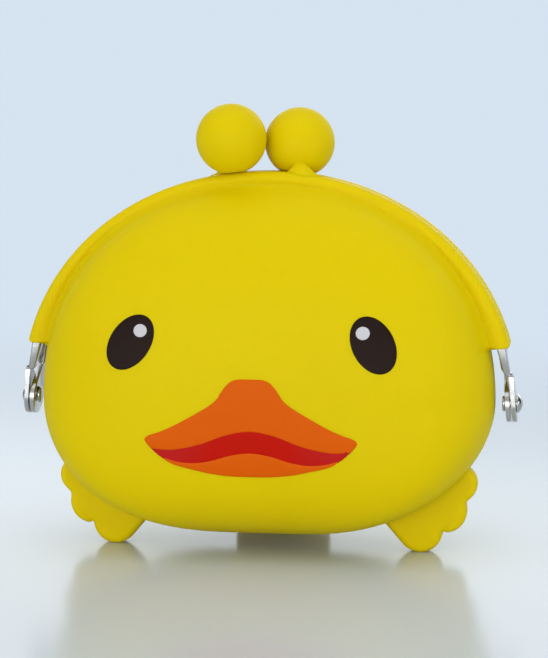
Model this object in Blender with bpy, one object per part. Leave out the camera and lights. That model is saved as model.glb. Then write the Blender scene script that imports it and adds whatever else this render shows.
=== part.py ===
"""Silicone kiss-lock case with a duck's face: a soft pouch on a hinged steel frame.

Frame of reference: +X to the right as seen from the front, +Y to the back, +Z up. The origin is on the
surface that the case stands on, under the hinge line, which runs along X. Lengths are in metres.

Each half of the mouth is a silicone wall and rim sleeve on a steel arc. Both arcs turn about two rivets.
The back half is the front half turned half a turn about Z, apart from the ears, which lie inside the
front half's ears, and the print, which is on the front only.
"""

import math

import bmesh
import bpy
from mathutils import Matrix, Vector, geometry

MM = 0.001

# Clearances
SEAM = 0.4 * MM  # between the zones of the silicone moulding, and between the two rims
LIP_SETBACK = 0.5 * MM  # how far the walls' free edges stay behind the rims' faces
FIT = 0.3 * MM  # between pieces that touch
PLATE_GAP = 0.2 * MM  # between flat plates on the rivets, and under the print

# Hinge and the two planes that bound the stretch of wall that bends
HINGE_HEIGHT = 32.8 * MM
BEND_SETBACK = 1.1 * MM  # how far the planes miss the hinge axis, below and above it
BOWL_EDGE_ANGLE = math.radians(21)
HALF_EDGE_ANGLE = math.radians(47.5)

# Pouch: a hollow cushion with a rounded outline in XZ
POUCH_HALF_WIDTH = 50.4 * MM
POUCH_TOP_RISE = 48.0 * MM  # above the hinge
POUCH_BASE_HEIGHT = 3.2 * MM  # above the surface it stands on
POUCH_HALF_DEPTH = 23.2 * MM
POUCH_WALL = 1.8 * MM
POUCH_TOP_POWER = 2.2  # superellipse power of the outline above the hinge
POUCH_SIDE_HANDLE = 5.3 * MM  # how far the lower outline keeps going down at the sides
POUCH_BASE_HANDLE = 46.7 * MM  # how far it keeps level under the base

# How flat the pouch's face stays before it rounds off, as powers
FACE_SIDE_POWER = 5.1  # to the sides, from the hinge up
FACE_LOW_SIDE_POWER = 9.8  # to the sides, at the base
FACE_UPPER_POWER = 2.0  # to the top
FACE_LOWER_POWER = 4.1  # to the base

# Rim: the sleeve that covers each steel arc
RIM_HALF_WIDTH = POUCH_HALF_WIDTH + 4.6 * MM  # at the hinge
RIM_RISE = POUCH_TOP_RISE + 2.4 * MM  # above the hinge
RIM_POWER = 2.05
RIM_END_HEIGHT = HINGE_HEIGHT + 12.8 * MM
RIM_END_SPARE = 3.0 * MM  # swept further down, then cut off level
RIM_BAND = 5.4 * MM  # across the band as seen from the front
RIM_DEPTH = 5.4 * MM  # from the mouth's plane to the rim's face
RIM_FACE_ROUND = 1.9 * MM
RIM_MOUTH_ROUND = 0.7 * MM

# Steel frame
CHANNEL_INSET = 1.1 * MM  # silicone outside the channel's web
CHANNEL_BAND = 2.6 * MM
CHANNEL_DEPTH = 3.0 * MM
STEEL = 0.6 * MM
ARM_THICKNESS = 1.8 * MM  # folded channel, pinched flat lower down
PINCH_HEIGHT = HINGE_HEIGHT + 6.9 * MM
PINCH_WIDTH = 2.4 * MM
EAR_THICKNESS = 0.8 * MM
EAR_RADIUS = 4.1 * MM
EAR_INSET = 0.6 * MM  # from the rim's half width to the middle of the outer ear

# Rivets
RIVET_RADIUS = 1.1 * MM
RIVET_HOLE_PLAY = 0.1 * MM
RIVET_HEAD_RADIUS = 2.0 * MM
RIVET_DOME = 1.0 * MM
RIVET_TAIL = 0.6 * MM

# Clasp
BALL_RADIUS = 7.7 * MM
BALL_X = 7.0 * MM
BALL_Y = 3.3 * MM  # past the mouth's plane, over the other half
BALL_HEIGHT = HINGE_HEIGHT + RIM_RISE + BALL_RADIUS  # its underside level with the rim's top
NECK_X = 8.0 * MM
NECK_FOOT_HALF_WIDTH = 4.2 * MM
NECK_FOOT_HALF_DEPTH = 2.5 * MM
NECK_WAIST_RADIUS = 2.2 * MM
NECK_SINK = 1.3 * MM  # how far the neck reaches down round the rim's curved top
STEM_RADIUS = 1.1 * MM
CORE_RADIUS = 4.2 * MM

# Wings: flat flaps with three round lobes each
WING_Y = -2.6 * MM
WING_THICKNESS = 5.4 * MM
WING_LOBES = (  # distance in from the pouch's side, height, radius, start and end of the arc
    (7.7 * MM, 15.4 * MM, 4.1 * MM, math.radians(95), math.radians(-62)),
    (10.7 * MM, 9.3 * MM, 4.8 * MM, math.radians(22), math.radians(-95)),
    (16.1 * MM, 4.7 * MM, 5.0 * MM, math.radians(-10), math.radians(-140)),
)
WING_ROOT = (  # ends of the flap behind the pouch's outline: distance in from its side, height
    (24.6 * MM, 7.2 * MM),
    (16.6 * MM, 17.0 * MM),
)

# Tail: a straight-sided flap at the back, the third foot
TAIL_HALF_WIDTH = 10.9 * MM
TAIL_Y = 20.7 * MM
TAIL_THICKNESS = 6.0 * MM
TAIL_HEIGHT = 16.0 * MM
TAIL_CORNER = 3.5 * MM
FOOT_FLAT = 0.35 * MM  # how much of the tail's round underside is cut flat
FLAP_ROUND = 1.5 * MM  # edges of the wings and the tail

# Face print
PRINT_THICKNESS = 0.3 * MM
EYE_X = 26.0 * MM
EYE_HEIGHT = HINGE_HEIGHT + 15.0 * MM
EYE_HALF_LENGTH = 6.3 * MM
EYE_HALF_WIDTH = 4.45 * MM
EYE_LEAN = math.radians(29.5)
GLINT_X = EYE_X - 2.2 * MM
GLINT_HEIGHT = EYE_HEIGHT + 2.5 * MM
GLINT_RADIUS = 1.4 * MM
# Right-hand halves of the bill's curves, from the corner to the middle, in millimetres
BILL_TOP = ((22.7, 27.1), (15.5, 30.6), (8.0, 35.2), (4.9, 39.3), (3.3, 40.2), (0, 40.3))
BILL_BOTTOM = ((19.7, 23.3), (16.8, 22.0), (12.8, 21.0), (8.9, 20.2), (4.5, 19.7), (0, 19.5))
MOUTH_TOP = ((21.4, 25.3), (15.5, 25.3), (10.6, 26.4), (5.2, 28.4), (0, 29.3))
MOUTH_BOTTOM = ((21.0, 24.9), (19.9, 23.9), (12.7, 22.4), (8.8, 22.8), (4.3, 24.1), (0, 24.7))

# Facets
POUCH_UPPER_STEPS = 33  # round the outline above the hinge
POUCH_LOWER_STEPS = 13  # each side below it
POUCH_RINGS = 8
RIM_STEPS = 40
CORNER_STEPS = 3
BALL_SIDES = 24
BALL_STEPS = 12
CORE_STEPS = 8
STEM_SIDES = 16
NECK_SIDES = 20
PIN_SIDES = 20
DOME_STEPS = 4
EAR_SIDES = 24
LOBE_STEPS = 8
EYE_SIDES = 24
GLINT_SIDES = 12
CURVE_STEPS = 3
SLOPE_STEP = 1e-3  # radians, for the direction of the rim's curve
WELD = 0.002 * MM
SHARP_ANGLE = math.radians(32)

# Sizes that follow from the ones above
OUTER_EAR_X = RIM_HALF_WIDTH - EAR_INSET  # middle of the front half's ears
INNER_EAR_X = OUTER_EAR_X - EAR_THICKNESS - FIT
CHANNEL_Y = -RIM_DEPTH / 2
CAVITY_BAND = CHANNEL_BAND + 2 * FIT
CAVITY_DEPTH = CHANNEL_DEPTH + 2 * FIT
REACH = 3 * POUCH_HALF_WIDTH  # past everything, for cutting blocks


def clear_scene():
    for item in list(bpy.data.objects):
        bpy.data.objects.remove(item, do_unlink=True)


def material(name, colour, roughness, metallic=0.0):
    made = bpy.data.materials.new(name)
    made.use_nodes = True
    shader = made.node_tree.nodes["Principled BSDF"]
    shader.inputs["Base Color"].default_value = (*colour, 1.0)
    shader.inputs["Roughness"].default_value = roughness
    shader.inputs["Metallic"].default_value = metallic
    return made


def object_from(bm, name, finish=None):
    """Turn a bmesh into an object of the scene, with its faces pointing out."""
    bmesh.ops.recalc_face_normals(bm, faces=bm.faces)
    mesh = bpy.data.meshes.new(name)
    bm.to_mesh(mesh)
    bm.free()
    made = bpy.data.objects.new(name, mesh)
    bpy.context.scene.collection.objects.link(made)
    if finish:
        mesh.materials.append(finish)
    return made


def combine(target, tool, operation):
    """Join, cut or intersect target with tool, apply it and delete the tool."""
    modifier = target.modifiers.new(operation.title(), "BOOLEAN")
    modifier.operation = operation
    modifier.solver = "EXACT"
    modifier.object = tool
    bpy.context.view_layer.update()
    shaped = target.evaluated_get(bpy.context.evaluated_depsgraph_get())
    mesh = bpy.data.meshes.new_from_object(shaped)
    target.modifiers.clear()
    target.data = mesh
    bpy.data.objects.remove(tool, do_unlink=True)
    return target


def transform(target, matrix):
    target.data.transform(matrix)
    if matrix.determinant() < 0:
        target.data.flip_normals()
    return target


def to_back(target):
    """Turn a piece of the front half into the same piece of the back half."""
    return transform(target, Matrix.Rotation(math.pi, 4, "Z"))


def bridge(bm, first, second):
    """Faces between two closed rings of equal point counts."""
    for i in range(len(first)):
        j = (i + 1) % len(first)
        bm.faces.new((first[i], first[j], second[j], second[i]))


def loft(name, sections, finish=None):
    """A solid through closed sections of equal point counts, capped at both ends."""
    bm = bmesh.new()
    rings = [[bm.verts.new(point) for point in section] for section in sections]
    for first, second in zip(rings, rings[1:]):
        bridge(bm, first, second)
    bm.faces.new(rings[0])
    bm.faces.new(rings[-1])
    return object_from(bm, name, finish)


def prism(name, outline, low, high, axis):
    """An outline pushed out from low to high along an axis: YZ outlines along X, XZ outlines along Y."""
    if axis == "X":
        sections = [[(at, a, b) for a, b in outline] for at in (low, high)]
    else:
        sections = [[(a, at, b) for a, b in outline] for at in (low, high)]
    return loft(name, sections)


def block_below(height):
    """A block that fills everything below a height, for level cuts."""
    outline = ((-REACH, -REACH), (REACH, -REACH), (REACH, height), (-REACH, height))
    return prism("below", outline, -REACH, REACH, "X")


def turned(name, profile, start, end, sides):
    """A profile of (radius, distance along) turned about the line from start to end."""
    bm = bmesh.new()
    along = (Vector(end) - Vector(start)).normalized()
    turn = along.to_track_quat("Z", "X").to_matrix()
    rings = []
    for radius, distance in profile:
        ring = []
        for i in range(sides if radius > 0 else 1):
            angle = 2 * math.pi * i / sides
            local = Vector((radius * math.cos(angle), radius * math.sin(angle), distance))
            ring.append(bm.verts.new(Vector(start) + turn @ local))
        rings.append(ring)
    for first, second in zip(rings, rings[1:]):
        if len(first) == 1:
            for i in range(sides):
                bm.faces.new((first[0], second[i], second[(i + 1) % sides]))
        elif len(second) == 1:
            for i in range(sides):
                bm.faces.new((first[i], first[(i + 1) % sides], second[0]))
        else:
            bridge(bm, first, second)
    for ring in (rings[0], rings[-1]):
        if len(ring) > 1:
            bm.faces.new(ring)
    return object_from(bm, name)


def sphere_profile(radius, steps):
    angles = [math.pi * i / steps for i in range(steps + 1)]
    profile = [(radius * math.sin(a), -radius * math.cos(a)) for a in angles]
    profile[0] = (0.0, -radius)
    profile[-1] = (0.0, radius)
    return profile


def superellipse(angle, half_width, rise, power):
    x = math.copysign(abs(math.cos(angle)) ** (2 / power), math.cos(angle))
    return Vector((half_width * x, rise * abs(math.sin(angle)) ** (2 / power)))


def smooth_curve(points):
    """A Catmull-Rom curve through points."""
    padded = [points[0], *points, points[-1]]
    curve = []
    for before, start, end, after in zip(padded, padded[1:], padded[2:], padded[3:]):
        for step in range(CURVE_STEPS):
            t = step / CURVE_STEPS
            curve.append(
                0.5
                * (
                    2 * start
                    + t * (end - before)
                    + t * t * (2 * before - 5 * start + 4 * end - after)
                    + t**3 * (3 * start - before - 3 * end + after)
                )
            )
    return [*curve, points[-1]]


def mirrored_curve(half, drop=0.0):
    """The whole curve, left to right, from its right-hand half in millimetres."""
    right = [Vector((x * MM, z * MM - drop)) for x, z in half]
    left = [Vector((-point.x, point.y)) for point in right[:-1]]
    return smooth_curve([*left, *reversed(right)])


# Pouch


def pouch_outline(grow):
    """Points round the pouch's outline in XZ, moved out by grow."""
    half_width = POUCH_HALF_WIDTH + grow
    rise = POUCH_TOP_RISE + grow
    angles = [math.pi * i / POUCH_UPPER_STEPS for i in range(POUCH_UPPER_STEPS)]
    points = [superellipse(angle, half_width, rise, POUCH_TOP_POWER) for angle in angles]
    base = HINGE_HEIGHT - POUCH_BASE_HEIGHT + grow
    side = (
        Vector((-half_width, 0)),
        Vector((-half_width, -POUCH_SIDE_HANDLE)),
        Vector((-POUCH_BASE_HANDLE, -base)),
        Vector((0, -base)),
    )
    left = geometry.interpolate_bezier(*side, POUCH_LOWER_STEPS + 1)
    points += [Vector(point[:2]) for point in left]
    points += [Vector((-point[0], point[1])) for point in reversed(left[1:-1])]
    return [Vector((point.x, point.y + HINGE_HEIGHT)) for point in points]


def half_width_at(outline, height):
    """Half of an outline's width at a height."""
    for start, end in zip(outline, [*outline[1:], outline[0]]):
        low, high = sorted((start, end), key=lambda point: point.y)
        if low.y <= height < high.y:
            return abs(low.x + (high.x - low.x) * (height - low.y) / (high.y - low.y))
    raise ValueError("the height is outside the outline")


def bulge_at(point, outline, grow):
    """Depth of the pouch's face over a point inside its outline."""
    rise = point.y - HINGE_HEIGHT
    if rise > 0:
        across = FACE_SIDE_POWER
        upright = (rise / (POUCH_TOP_RISE + grow)) ** FACE_UPPER_POWER
    else:
        share = -rise / (HINGE_HEIGHT - POUCH_BASE_HEIGHT + grow)
        across = FACE_SIDE_POWER + (FACE_LOW_SIDE_POWER - FACE_SIDE_POWER) * share
        upright = share**FACE_LOWER_POWER
    sideways = (abs(point.x) / half_width_at(outline, point.y)) ** across
    return (POUCH_HALF_DEPTH + grow) * math.sqrt((1 - sideways) * (1 - upright))


def cushion(name, grow):
    """The pouch's whole outer form, moved out by grow."""
    bm = bmesh.new()
    outline = pouch_outline(grow)
    centre = Vector((0, HINGE_HEIGHT))
    edge = [bm.verts.new((point.x, 0, point.y)) for point in outline]
    for side in (-1, 1):
        last = edge
        for ring in range(1, POUCH_RINGS):
            share = math.cos(math.pi / 2 * ring / POUCH_RINGS)
            at = [centre + (point - centre) * share for point in outline]
            verts = [
                bm.verts.new((point.x, side * bulge_at(point, outline, grow), point.y)) for point in at
            ]
            bridge(bm, last, verts)
            last = verts
        middle = bm.verts.new((0, side * (POUCH_HALF_DEPTH + grow), HINGE_HEIGHT))
        for i, vert in enumerate(last):
            bm.faces.new((vert, last[(i + 1) % len(last)], middle))
    return object_from(bm, name)


def wall_zone(name, block, finish, out=0.0, thickness=POUCH_WALL):
    """The stretch of the pouch's wall, or of a layer over it, that lies inside a block."""
    zone = combine(block, cushion("outer form", out), "INTERSECT")
    combine(zone, cushion("inner form", out - thickness), "DIFFERENCE")
    zone.name = name
    zone.data.materials.clear()
    zone.data.materials.append(finish)
    return zone


def bowl_edge(y):
    return HINGE_HEIGHT - BEND_SETBACK + abs(y) * math.tan(BOWL_EDGE_ANGLE)


def half_edge(y):
    return HINGE_HEIGHT + BEND_SETBACK + abs(y) * math.tan(HALF_EDGE_ANGLE)


def make_bowl(finish):
    outline = (
        (-REACH, -REACH),
        (REACH, -REACH),
        (REACH, bowl_edge(REACH) - SEAM / 2),
        (0, bowl_edge(0) - SEAM / 2),
        (-REACH, bowl_edge(REACH) - SEAM / 2),
    )
    return wall_zone("pouch_bowl", prism("bowl", outline, -REACH, REACH, "X"), finish)


def make_fold_panel(name, finish):
    near = -SEAM / 2 - LIP_SETBACK
    outline = (
        (near, bowl_edge(near) + SEAM / 2),
        (near, half_edge(near) - SEAM / 2),
        (-REACH, half_edge(REACH) - SEAM / 2),
        (-REACH, bowl_edge(REACH) + SEAM / 2),
    )
    return wall_zone(name, prism("fold", outline, -REACH, REACH, "X"), finish)


# Rim and frame


def arch_angle(height):
    """The angle at which the rim's curve passes a height."""
    return math.asin(((height - HINGE_HEIGHT) / RIM_RISE) ** (RIM_POWER / 2))


def arch_stations(end_height):
    """Points along the rim's outer curve, from right to left, each with its inward normal."""
    start = arch_angle(end_height)
    stations = []
    for i in range(RIM_STEPS + 1):
        angle = start + (math.pi - 2 * start) * i / RIM_STEPS
        before, here, after = (
            superellipse(angle + nudge, RIM_HALF_WIDTH, RIM_RISE, RIM_POWER)
            for nudge in (-SLOPE_STEP, 0, SLOPE_STEP)
        )
        along = (after - before).normalized()
        inward = Vector((-along.y, along.x))
        stations.append((Vector((here.x, here.y + HINGE_HEIGHT)), inward))
    return stations


def sweep_arch(name, section, end_height, finish=None):
    """Sweep a section of (inset from the rim, Y) points along the rim's curve."""
    sections = []
    for point, inward in arch_stations(end_height):
        ring = [point + inward * inset for inset, _ in section]
        sections.append([(at.x, y, at.y) for at, (_, y) in zip(ring, section)])
    return loft(name, sections, finish)


def rounded_section(corners):
    """A rectangle-like section from (inset, y, radius) corners, each rounded with an arc."""
    section = []
    count = len(corners)
    for i, (inset, y, radius) in enumerate(corners):
        here = Vector((inset, y))
        before = (Vector(corners[i - 1][:2]) - here).normalized()
        after = (Vector(corners[(i + 1) % count][:2]) - here).normalized()
        centre = here + (before + after) * radius
        for step in range(CORNER_STEPS + 1):
            turn = math.pi / 2 * step / CORNER_STEPS
            offset = -after * math.cos(turn) - before * math.sin(turn)
            section.append(tuple(centre + offset * radius))
    return section


def make_rim(grow=0.0):
    """The front sleeve's outer form, moved out by grow."""
    mouth_face, face = -SEAM / 2 + grow, -RIM_DEPTH - grow
    outer, inner = -grow, RIM_BAND + grow
    section = rounded_section(
        (
            (outer, mouth_face, RIM_MOUTH_ROUND + grow),
            (outer, face, RIM_FACE_ROUND + grow),
            (inner, face, RIM_MOUTH_ROUND),
            (inner, mouth_face, RIM_MOUTH_ROUND),
        )
    )
    rim = sweep_arch("rim", section, RIM_END_HEIGHT - RIM_END_SPARE)
    return combine(rim, block_below(RIM_END_HEIGHT - grow), "DIFFERENCE")


def rectangle_section(inset, band, depth):
    near, far = CHANNEL_Y + depth / 2, CHANNEL_Y - depth / 2
    return ((inset, near), (inset, far), (inset + band, far), (inset + band, near))


def make_pouch_half(name, finish):
    """Upper wall and rim sleeve of the front half, with the space for its steel arc."""
    near = -SEAM / 2 - LIP_SETBACK
    outline = (
        (near, half_edge(near) + SEAM / 2),
        (near, REACH),
        (-REACH, REACH),
        (-REACH, half_edge(REACH) + SEAM / 2),
    )
    half = wall_zone(name, prism("half", outline, -REACH, REACH, "X"), finish)
    combine(half, make_rim(), "UNION")
    hollow = rectangle_section(CHANNEL_INSET - FIT, CAVITY_BAND, CAVITY_DEPTH)
    combine(half, sweep_arch("hollow", hollow, RIM_END_HEIGHT - 2 * FIT), "DIFFERENCE")
    combine(half, stem_bore(), "DIFFERENCE")
    return half


def channel_section():
    """A U section, open towards the pouch."""
    near, far = CHANNEL_Y + CHANNEL_DEPTH / 2, CHANNEL_Y - CHANNEL_DEPTH / 2
    top, bottom = CHANNEL_INSET, CHANNEL_INSET + CHANNEL_BAND
    return (
        (top, near),
        (top, far),
        (bottom, far),
        (bottom, far + STEEL),
        (top + STEEL, far + STEEL),
        (top + STEEL, near - STEEL),
        (bottom, near - STEEL),
        (bottom, near),
    )


def channel_middle(height):
    """The middle of the right-hand side of the channel, where the rim's curve passes a height."""
    point, inward = arch_stations(height)[0]
    return point + inward * (CHANNEL_INSET + CHANNEL_BAND / 2)


def make_arm(ear_x):
    """The right-hand arm, from inside the sleeve down to the top of the ear."""
    top, end = channel_middle(RIM_END_HEIGHT + CHANNEL_BAND / 2), channel_middle(RIM_END_HEIGHT)
    folded_width = CHANNEL_DEPTH - 2 * PLATE_GAP
    levels = (  # X, Z, thickness, width
        (top.x, top.y, ARM_THICKNESS, folded_width),
        (end.x, end.y, ARM_THICKNESS, folded_width),
        (ear_x, PINCH_HEIGHT + EAR_THICKNESS, EAR_THICKNESS, PINCH_WIDTH),
        (ear_x, PINCH_HEIGHT - EAR_THICKNESS, EAR_THICKNESS, PINCH_WIDTH),
    )
    sections = []
    for x, z, thickness, width in levels:
        sections.append(
            [
                (x + i * thickness / 2, CHANNEL_Y + j * width / 2, z)
                for i, j in ((-1, -1), (1, -1), (1, 1), (-1, 1))
            ]
        )
    return loft("arm", sections)


def make_ear(ear_x):
    """A flat ear round the hinge, widened up to the pinch of its arm."""
    points = [
        Vector((EAR_RADIUS * math.cos(a), HINGE_HEIGHT + EAR_RADIUS * math.sin(a)))
        for a in (2 * math.pi * i / EAR_SIDES for i in range(EAR_SIDES))
    ]
    for j in (-1, 1):
        points.append(Vector((CHANNEL_Y + j * PINCH_WIDTH / 2, PINCH_HEIGHT)))
    outline = [points[i] for i in geometry.convex_hull_2d(points)]
    low, high = ear_x - EAR_THICKNESS / 2, ear_x + EAR_THICKNESS / 2
    return prism("ear", outline, low, high, "X")


def make_frame(name, ear_x, finish):
    """Steel arc with an arm and an ear at each end."""
    frame = sweep_arch(name, channel_section(), RIM_END_HEIGHT, finish)
    for mirror in (1, -1):
        flip = Matrix.Diagonal((mirror, 1, 1, 1))
        combine(frame, transform(make_arm(ear_x), flip), "UNION")
        combine(frame, transform(make_ear(ear_x), flip), "UNION")
        start = (mirror * (ear_x - EAR_RADIUS), 0, HINGE_HEIGHT)
        end = (mirror * (ear_x + EAR_RADIUS), 0, HINGE_HEIGHT)
        radius = RIVET_RADIUS + RIVET_HOLE_PLAY
        hole = turned("hole", ((radius, 0), (radius, 2 * EAR_RADIUS)), start, end, PIN_SIDES)
        combine(frame, hole, "DIFFERENCE")
    return frame


def make_rivet(name, mirror, finish):
    """Shank through both ears, with a flat tail inside and a domed head outside."""
    inside = INNER_EAR_X - EAR_THICKNESS / 2 - PLATE_GAP
    outside = OUTER_EAR_X + EAR_THICKNESS / 2 + PLATE_GAP
    dome_start = RIVET_TAIL + outside - inside
    profile = [
        (RIVET_HEAD_RADIUS, 0),
        (RIVET_HEAD_RADIUS, RIVET_TAIL),
        (RIVET_RADIUS, RIVET_TAIL),
        (RIVET_RADIUS, dome_start),
    ]
    for i in range(DOME_STEPS):
        angle = math.pi / 2 * i / DOME_STEPS
        radius = RIVET_HEAD_RADIUS * math.cos(angle)
        profile.append((radius, dome_start + RIVET_DOME * math.sin(angle)))
    profile.append((0, dome_start + RIVET_DOME))
    start = (mirror * (inside - RIVET_TAIL), 0, HINGE_HEIGHT)
    end = (mirror * REACH, 0, HINGE_HEIGHT)
    rivet = turned(name, profile, start, end, PIN_SIDES)
    rivet.data.materials.append(finish)
    return rivet


# Clasp


def neck_foot():
    """Where the front half's clasp leaves the rim, on the rim's outer curve."""
    share = 1 - (NECK_X / RIM_HALF_WIDTH) ** RIM_POWER
    return Vector((NECK_X, CHANNEL_Y, HINGE_HEIGHT + RIM_RISE * share ** (1 / RIM_POWER)))


def ball_centre():
    return Vector((BALL_X, BALL_Y, BALL_HEIGHT))


def neck_direction():
    return (ball_centre() - neck_foot()).normalized()


def web_distance():
    """How far the top of the channel's web lies below the neck's foot, along the neck."""
    return CHANNEL_INSET / neck_direction().z


def stem_bore():
    radius = STEM_RADIUS + FIT
    start = neck_foot() - neck_direction() * web_distance()
    end = ball_centre()
    return turned("bore", ((radius, 0), (radius, (end - start).length)), start, end, STEM_SIDES)


def make_neck(name):
    """The flared neck, from just below the rim's top to inside the ball."""
    foot, centre = neck_foot(), ball_centre()
    height = centre.z - foot.z
    waist = 1 - BALL_RADIUS * neck_direction().z / height
    sections = []
    for share in (-NECK_SINK / height, 0, waist / 2, waist, 2 * waist, 1 - CORE_RADIUS / height):
        at = foot.lerp(centre, share)
        flare = max(0, 1 - share / (2 * waist)) ** 2 if share > 0 else 1
        half_width = NECK_WAIST_RADIUS + (NECK_FOOT_HALF_WIDTH - NECK_WAIST_RADIUS) * flare
        half_depth = NECK_WAIST_RADIUS + (NECK_FOOT_HALF_DEPTH - NECK_WAIST_RADIUS) * flare
        turns = [2 * math.pi * i / NECK_SIDES for i in range(NECK_SIDES)]
        sections.append(
            [(at.x + half_width * math.cos(t), at.y + half_depth * math.sin(t), at.z) for t in turns]
        )
    return loft(name, sections)


def make_clasp_ball(name, finish):
    """Soft ball and flared neck over the stem and the hard core."""
    centre = ball_centre()
    up = centre + neck_direction()
    shell = turned("shell", sphere_profile(BALL_RADIUS, BALL_STEPS), centre, up, BALL_SIDES)
    hollow = turned("hollow", sphere_profile(CORE_RADIUS + FIT, CORE_STEPS), centre, up, STEM_SIDES)
    ball = make_neck(name)
    combine(ball, make_rim(FIT), "DIFFERENCE")
    combine(ball, to_back(make_rim(FIT)), "DIFFERENCE")
    combine(ball, shell, "UNION")
    combine(ball, hollow, "DIFFERENCE")
    combine(ball, stem_bore(), "DIFFERENCE")
    ball.data.materials.clear()
    ball.data.materials.append(finish)
    return ball


def make_clasp_core(name, finish):
    centre = ball_centre()
    profile = sphere_profile(CORE_RADIUS, CORE_STEPS)
    core = turned(name, profile, centre, centre + neck_direction(), STEM_SIDES)
    core.data.materials.append(finish)
    return core


def make_clasp_stem(name, finish):
    """Post from the channel's web up to the core."""
    top = ball_centre() - neck_direction() * (CORE_RADIUS + PLATE_GAP)
    seat = web_distance() - STEM_RADIUS * math.hypot(*neck_direction().xy) - PLATE_GAP
    bottom = neck_foot() - neck_direction() * seat
    profile = ((STEM_RADIUS, 0), (STEM_RADIUS, (top - bottom).length))
    stem = turned(name, profile, bottom, top, STEM_SIDES)
    stem.data.materials.append(finish)
    return stem


# Feet


def wing_outline():
    """The right wing's outline in XZ: three arcs, then back through the pouch."""
    outline = []
    for inset, z, radius, start, end in WING_LOBES:
        centre = Vector((POUCH_HALF_WIDTH - inset, z))
        for i in range(LOBE_STEPS + 1):
            angle = start + (end - start) * i / LOBE_STEPS
            outline.append(centre + Vector((math.cos(angle), math.sin(angle))) * radius)
    return [*outline, *(Vector((POUCH_HALF_WIDTH - inset, z)) for inset, z in WING_ROOT)]


def inset_outline(outline, distance):
    """Move each point of a clockwise outline inwards, along the mean of its two edges' normals."""
    moved = []
    for before, here, after in zip([outline[-1], *outline], outline, [*outline[1:], outline[0]]):
        along = (here - before).normalized() + (after - here).normalized()
        moved.append(here + Vector((along.y, -along.x)).normalized() * distance)
    return moved


def tail_outline():
    """The tail's outline in XZ: straight sides and two round lower corners."""
    outline = [Vector((TAIL_HALF_WIDTH, TAIL_HEIGHT))]
    for side, start in ((1, 0), (-1, -math.pi / 2)):
        centre = Vector((side * (TAIL_HALF_WIDTH - TAIL_CORNER), TAIL_CORNER - FOOT_FLAT))
        for i in range(CORNER_STEPS + 1):
            angle = start - math.pi / 2 * i / CORNER_STEPS
            outline.append(centre + Vector((math.cos(angle), math.sin(angle))) * TAIL_CORNER)
    return [*outline, Vector((-TAIL_HALF_WIDTH, TAIL_HEIGHT))]


def make_flap(name, outline, middle, thickness, finish):
    """A flap with rounded edges, trimmed to the pouch's form and flat where it stands."""
    sections = []
    for side in (-1, 1):
        turns = [math.pi / 2 * i / CORNER_STEPS for i in range(CORNER_STEPS + 1)]
        for turn in reversed(turns) if side < 0 else turns:
            y = middle + side * (thickness / 2 - FLAP_ROUND * (1 - math.sin(turn)))
            ring = inset_outline(outline, FLAP_ROUND * (1 - math.cos(turn)))
            sections.append([(point.x, y, point.y) for point in ring])
    flap = loft(name, sections)
    combine(flap, cushion("pouch", FIT), "DIFFERENCE")
    combine(flap, block_below(0), "DIFFERENCE")
    flap.data.materials.clear()
    flap.data.materials.append(finish)
    return flap


def make_wing(name, mirror, finish):
    wing = make_flap(name, wing_outline(), WING_Y, WING_THICKNESS, finish)
    return transform(wing, Matrix.Diagonal((mirror, 1, 1, 1)))


# Face print


def printed(name, outline, layer, finish):
    """A thin piece of colour on the front wall, inside an outline in XZ."""
    block = prism(name, outline, -REACH, -POUCH_HALF_DEPTH / 3, "Y")
    top = (layer + 1) * (PLATE_GAP + PRINT_THICKNESS)
    return wall_zone(name, block, finish, top, PRINT_THICKNESS)


def leaning_oval(mirror, x, z, half_width, half_length, lean, sides):
    outline = []
    for i in range(sides):
        angle = 2 * math.pi * i / sides
        point = Vector((half_width * math.cos(angle), half_length * math.sin(angle)))
        point.rotate(Matrix.Rotation(lean, 2))
        outline.append((mirror * (x + point.x), z + point.y))
    return outline


def make_face(eye_finish, glint_finish, bill_finish, mouth_finish):
    pieces = {}
    for side, mirror in (("left", -1), ("right", 1)):
        eye_size = (EYE_HALF_WIDTH, EYE_HALF_LENGTH, EYE_LEAN, EYE_SIDES)
        eye = leaning_oval(mirror, EYE_X, EYE_HEIGHT, *eye_size)
        glint_size = (GLINT_RADIUS, GLINT_RADIUS, 0, GLINT_SIDES)
        glint = leaning_oval(mirror, GLINT_X, GLINT_HEIGHT, *glint_size)
        pieces[f"{side}_eye"] = printed(f"{side}_eye", eye, 0, eye_finish)
        pieces[f"{side}_eye_glint"] = printed(f"{side}_eye_glint", glint, 1, glint_finish)
    bill_top, bill_bottom = mirrored_curve(BILL_TOP), mirrored_curve(BILL_BOTTOM)
    mouth_top, mouth_bottom = mirrored_curve(MOUTH_TOP), mirrored_curve(MOUTH_BOTTOM)
    mouth_roof = [p for p in mirrored_curve(MOUTH_TOP, FIT) if abs(p.x) < mouth_bottom[-1].x]
    bill_shelf = [p for p in mirrored_curve(MOUTH_BOTTOM, FIT) if abs(p.x) < bill_bottom[-1].x]
    shapes = (
        ("upper_bill", bill_top, mouth_top, bill_finish),
        ("mouth", mouth_roof, mouth_bottom, mouth_finish),
        ("lower_bill", bill_shelf, bill_bottom, bill_finish),
    )
    for name, upper, lower, finish in shapes:
        outline = [tuple(point) for point in (*upper, *reversed(lower))]
        pieces[name] = printed(name, outline, 0, finish)
    return pieces


# Assembly


def hinge(name):
    empty = bpy.data.objects.new(name, None)
    empty.location = (0, 0, HINGE_HEIGHT)
    empty.empty_display_size = EAR_RADIUS
    bpy.context.scene.collection.objects.link(empty)
    return empty


def carry(piece, empty):
    """Make a piece turn with an empty on the hinge's axis, with its own origin on the axis too."""
    piece.data.transform(Matrix.Translation(-empty.location))
    piece.parent = empty


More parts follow.
